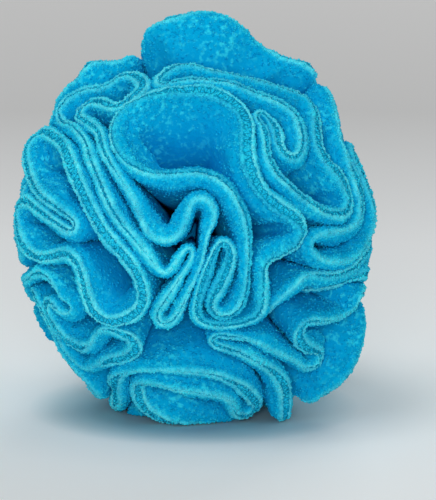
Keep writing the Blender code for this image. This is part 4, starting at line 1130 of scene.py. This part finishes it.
def add_core(centre, thread):
    """Stuffed core: filling in two gathered cover halves that a whipped seam joins."""
    cloth = woven_cover()
    inside = CORE_RADIUS - CORE_COVER_THICK
    start = math.asin(CORE_SEAM_HALF_GAP / CORE_RADIUS)
    steps = [start + (0.5 * math.pi - start) * (k / CORE_RINGS) for k in range(CORE_RINGS)]
    for name, way in (("core_cover_upper", 1.0), ("core_cover_lower", -1.0)):
        rows = []
        for radius, order in ((CORE_RADIUS, 1), (inside, -1)):
            half = [(radius * math.cos(angle), way * radius * math.sin(angle),
                     CORE_GATHER_DEEP * math.cos(angle) ** CORE_GATHER_POWER) for angle in steps]
            half.append((0.0, way * radius, 0.0))
            rows += half[::order]
        cover = turned_body(name + "_cloth", rows, True, centre, cloth)
        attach(cover, "root")
        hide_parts(name)
    ball = inside - CORE_GATHER_DEEP - RIM_GAP
    turns = [math.pi * (k / (2.0 * CORE_RINGS) - 0.5) for k in range(2 * CORE_RINGS + 1)]
    rows = [(0.0, -ball, 0.0)]
    rows += [(ball * math.cos(turn), ball * math.sin(turn), 0.0) for turn in turns[1:-1]]
    rows.append((0.0, ball, 0.0))
    filling = turned_body("core_fibre_filling", rows, False, centre, fibre_fill())
    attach(filling, "root")
    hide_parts("core_filling")
    count = WHIP_STITCHES * WHIP_STEPS
    angle = 2.0 * math.pi * np.arange(count) / count
    whip = 2.0 * math.pi * np.arange(count) / WHIP_STEPS
    heading = np.column_stack([np.cos(angle), np.sin(angle), np.zeros(count)])
    upward = np.array([[0.0, 0.0, 1.0]])
    ring = CORE_RADIUS - 0.5 * CORE_COVER_THICK
    path = (centre + heading * (ring + WHIP_REACH * np.cos(whip))[:, None]
            + upward * (WHIP_REACH * np.sin(whip))[:, None])
    verts, faces = tube(path, heading, WHIP_THREAD_RADIUS, CORE_THREAD_SIDES, True)
    seam = mesh_object("core_whip_seam", verts, faces, [thread])
    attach(seam, "root")
    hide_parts("core_seam_thread")


def add_tack_knots(centre, thread):
    """Overhand knots of doubled thread that tack each circle's middle to the core."""
    count = KNOT_STEPS
    turn = 2.0 * math.pi * np.arange(count) / count
    for order in range(1, len(CIRCLE_MM) + 1):
        node = "tack_knot_%02d" % order
        low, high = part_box(node)
        spot = np.array(low + high) / 2.0
        tie = unit(spot - centre)
        across = unit(np.cross(tie, np.array(KNOT_ODD_WAY)))
        upward = np.cross(tie, across)
        reach = (KNOT_RADIUS - KNOT_THREAD_RADIUS) / 3.0
        path = spot + reach * ((np.sin(turn) + 2.0 * np.sin(2.0 * turn))[:, None] * across
                               + (np.cos(turn) - 2.0 * np.cos(2.0 * turn))[:, None] * upward
                               + (KNOT_SWING * np.sin(3.0 * turn))[:, None] * tie)
        verts, faces = tube(path, np.tile(tie, (count, 1)), KNOT_THREAD_RADIUS, CORE_THREAD_SIDES, True)
        knot = mesh_object(node + "_loops", verts, faces, [thread])
        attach(knot, "root")
        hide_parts(node)


def add_stage():
    """Wide pale floor, with a painted teal contact shadow close to the ball, standing in for its shadow and
    bounce light, and a shade darker far from it.
    """
    material, tree, shader = new_material("matt_paper_floor")
    place = add_node(tree, "ShaderNodeTexCoord").outputs["Object"]
    far = add_node(tree, "ShaderNodeVectorMath", {0: place}, operation="LENGTH")
    level = add_node(tree, "ShaderNodeMapRange",
                     {"Value": far, "From Min": FLOOR_TONE_FROM, "From Max": FLOOR_TONE_TO})
    # The ramp paints the contact shadow close to the ball.
    ramp = set_stops(add_node(tree, "ShaderNodeValToRGB", {"Fac": level}), floor_and_painted_shadow_colours)
    ray = add_node(tree, "ShaderNodeLightPath").outputs["Is Camera Ray"]
    shown = add_node(tree, "ShaderNodeMix", {0: ray, 6: linear(FLOOR_BOUNCE_HEX), 7: ramp},
                     data_type="RGBA")
    set_inputs(shader, {"Base Color": shown, "Roughness": 0.9, "Specular IOR Level": 0.1})
    corners = [(x * FLOOR_HALF, y * FLOOR_HALF, 0.0) for x, y in ((-1, -1), (1, -1), (1, 1), (-1, 1))]
    mesh = bpy.data.meshes.new("floor")
    mesh.from_pydata(corners, [], [(0, 1, 2, 3)])
    mesh.materials.append(material)
    obj = new_object("floor", mesh)


def aim(obj, place, target):
    """Stands an object at a place and turns its -Z axis to the target."""
    obj.location = place
    obj.rotation_euler = (Vector(target) - Vector(place)).to_track_quat("-Z", "Y").to_euler()


def add_lamp(name, place, target, size, power):
    """A square white soft box."""
    lamp = bpy.data.lights.new(name, "AREA")
    lamp.size = size
    lamp.energy = power
    aim(new_object(name, lamp), place, target)


def add_camera(ball_centre):
    """Long lens straight ahead, a little above the ball, which stands left of and above the middle."""
    tip = math.radians(FRONT_TIP_DEG)
    ahead = np.array([0.0, math.cos(tip), -math.sin(tip)])
    upward = np.array([0.0, math.sin(tip), math.cos(tip)])
    target = ball_centre + np.array([AIM_RIGHT, 0.0, 0.0]) - upward * AIM_BELOW
    camera = bpy.data.cameras.new("camera")
    camera.sensor_fit = "VERTICAL"
    camera.sensor_height = SENSOR_MM
    camera.lens = camera.sensor_height * CAMERA_DISTANCE / VIEW_HEIGHT
    camera.clip_start = 0.1
    camera.clip_end = 50.0
    obj = new_object("camera", camera)
    aim(obj, target - ahead * CAMERA_DISTANCE, target)
    bpy.context.scene.camera = obj


def add_lights(ball_centre):
    """Soft boxes in front, above left and behind, in an even pale room whose walls look light grey."""
    for name, place, size, power in SOFT_BOXES:
        add_lamp(name, place, ball_centre, size, power)
    world = bpy.data.worlds.new("studio_room")
    bpy.context.scene.world = world
    world.use_nodes = True
    tree = world.node_tree
    lit = tree.nodes["Background"]
    set_inputs(lit, {"Color": linear(ROOM_HEX), "Strength": ROOM_STRENGTH})
    seen = add_node(tree, "ShaderNodeBackground", {"Color": linear(WALL_HEX), "Strength": 1.0})
    ray = add_node(tree, "ShaderNodeLightPath").outputs["Is Camera Ray"]
    mixed = add_node(tree, "ShaderNodeMixShader", {0: ray, 1: lit, 2: seen})
    set_inputs(tree.nodes["World Output"], {"Surface": mixed})


def main():
    """Builds the camera, the lights and the stage, then every piece of the ball around its solids."""
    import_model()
    bpy.context.scene.view_settings.view_transform = "Standard"
    low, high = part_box("core_filling")
    ball_centre = np.array(low + high) / 2.0
    add_camera(ball_centre)
    add_lights(ball_centre)
    add_stage()
    fleece = plush_fleece()
    thread = polyester_thread()
    tufts = pile_tree()
    stitching = stitch_tree()
    stitch = single_stitch("stitch_master", STITCH_LENGTH, STITCH_HIGH, STITCH_RADIUS, thread)
    curves = all_rims()
    frames = half_widths([unit(curve) for curve in curves])
    for order, (curve, frame) in enumerate(zip(curves, frames), start=1):
        made = add_fleece(order, curve, frame, ball_centre, fleece)
        obj = made[0]
        pile = grown("ruffle_%02d_pile" % order, obj, tufts, {
            "Tufts per square metre": TUFTS_PER_MM2 / MM ** 2, "Tuft length": TUFT_LENGTH,
            "Tuft radius": TUFT_RADIUS, "Lean": TUFT_LEAN, "Seed": order, "Finish": fleece})
        threads = add_threads(order, made, stitch, stitching, thread)
        for piece in [obj, pile] + threads:
            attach(piece, "root")
        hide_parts("ruffle_%02d" % order)
    bpy.data.objects.remove(stitch)
    add_core(ball_centre, thread)
    add_tack_knots(ball_centre, thread)


main()
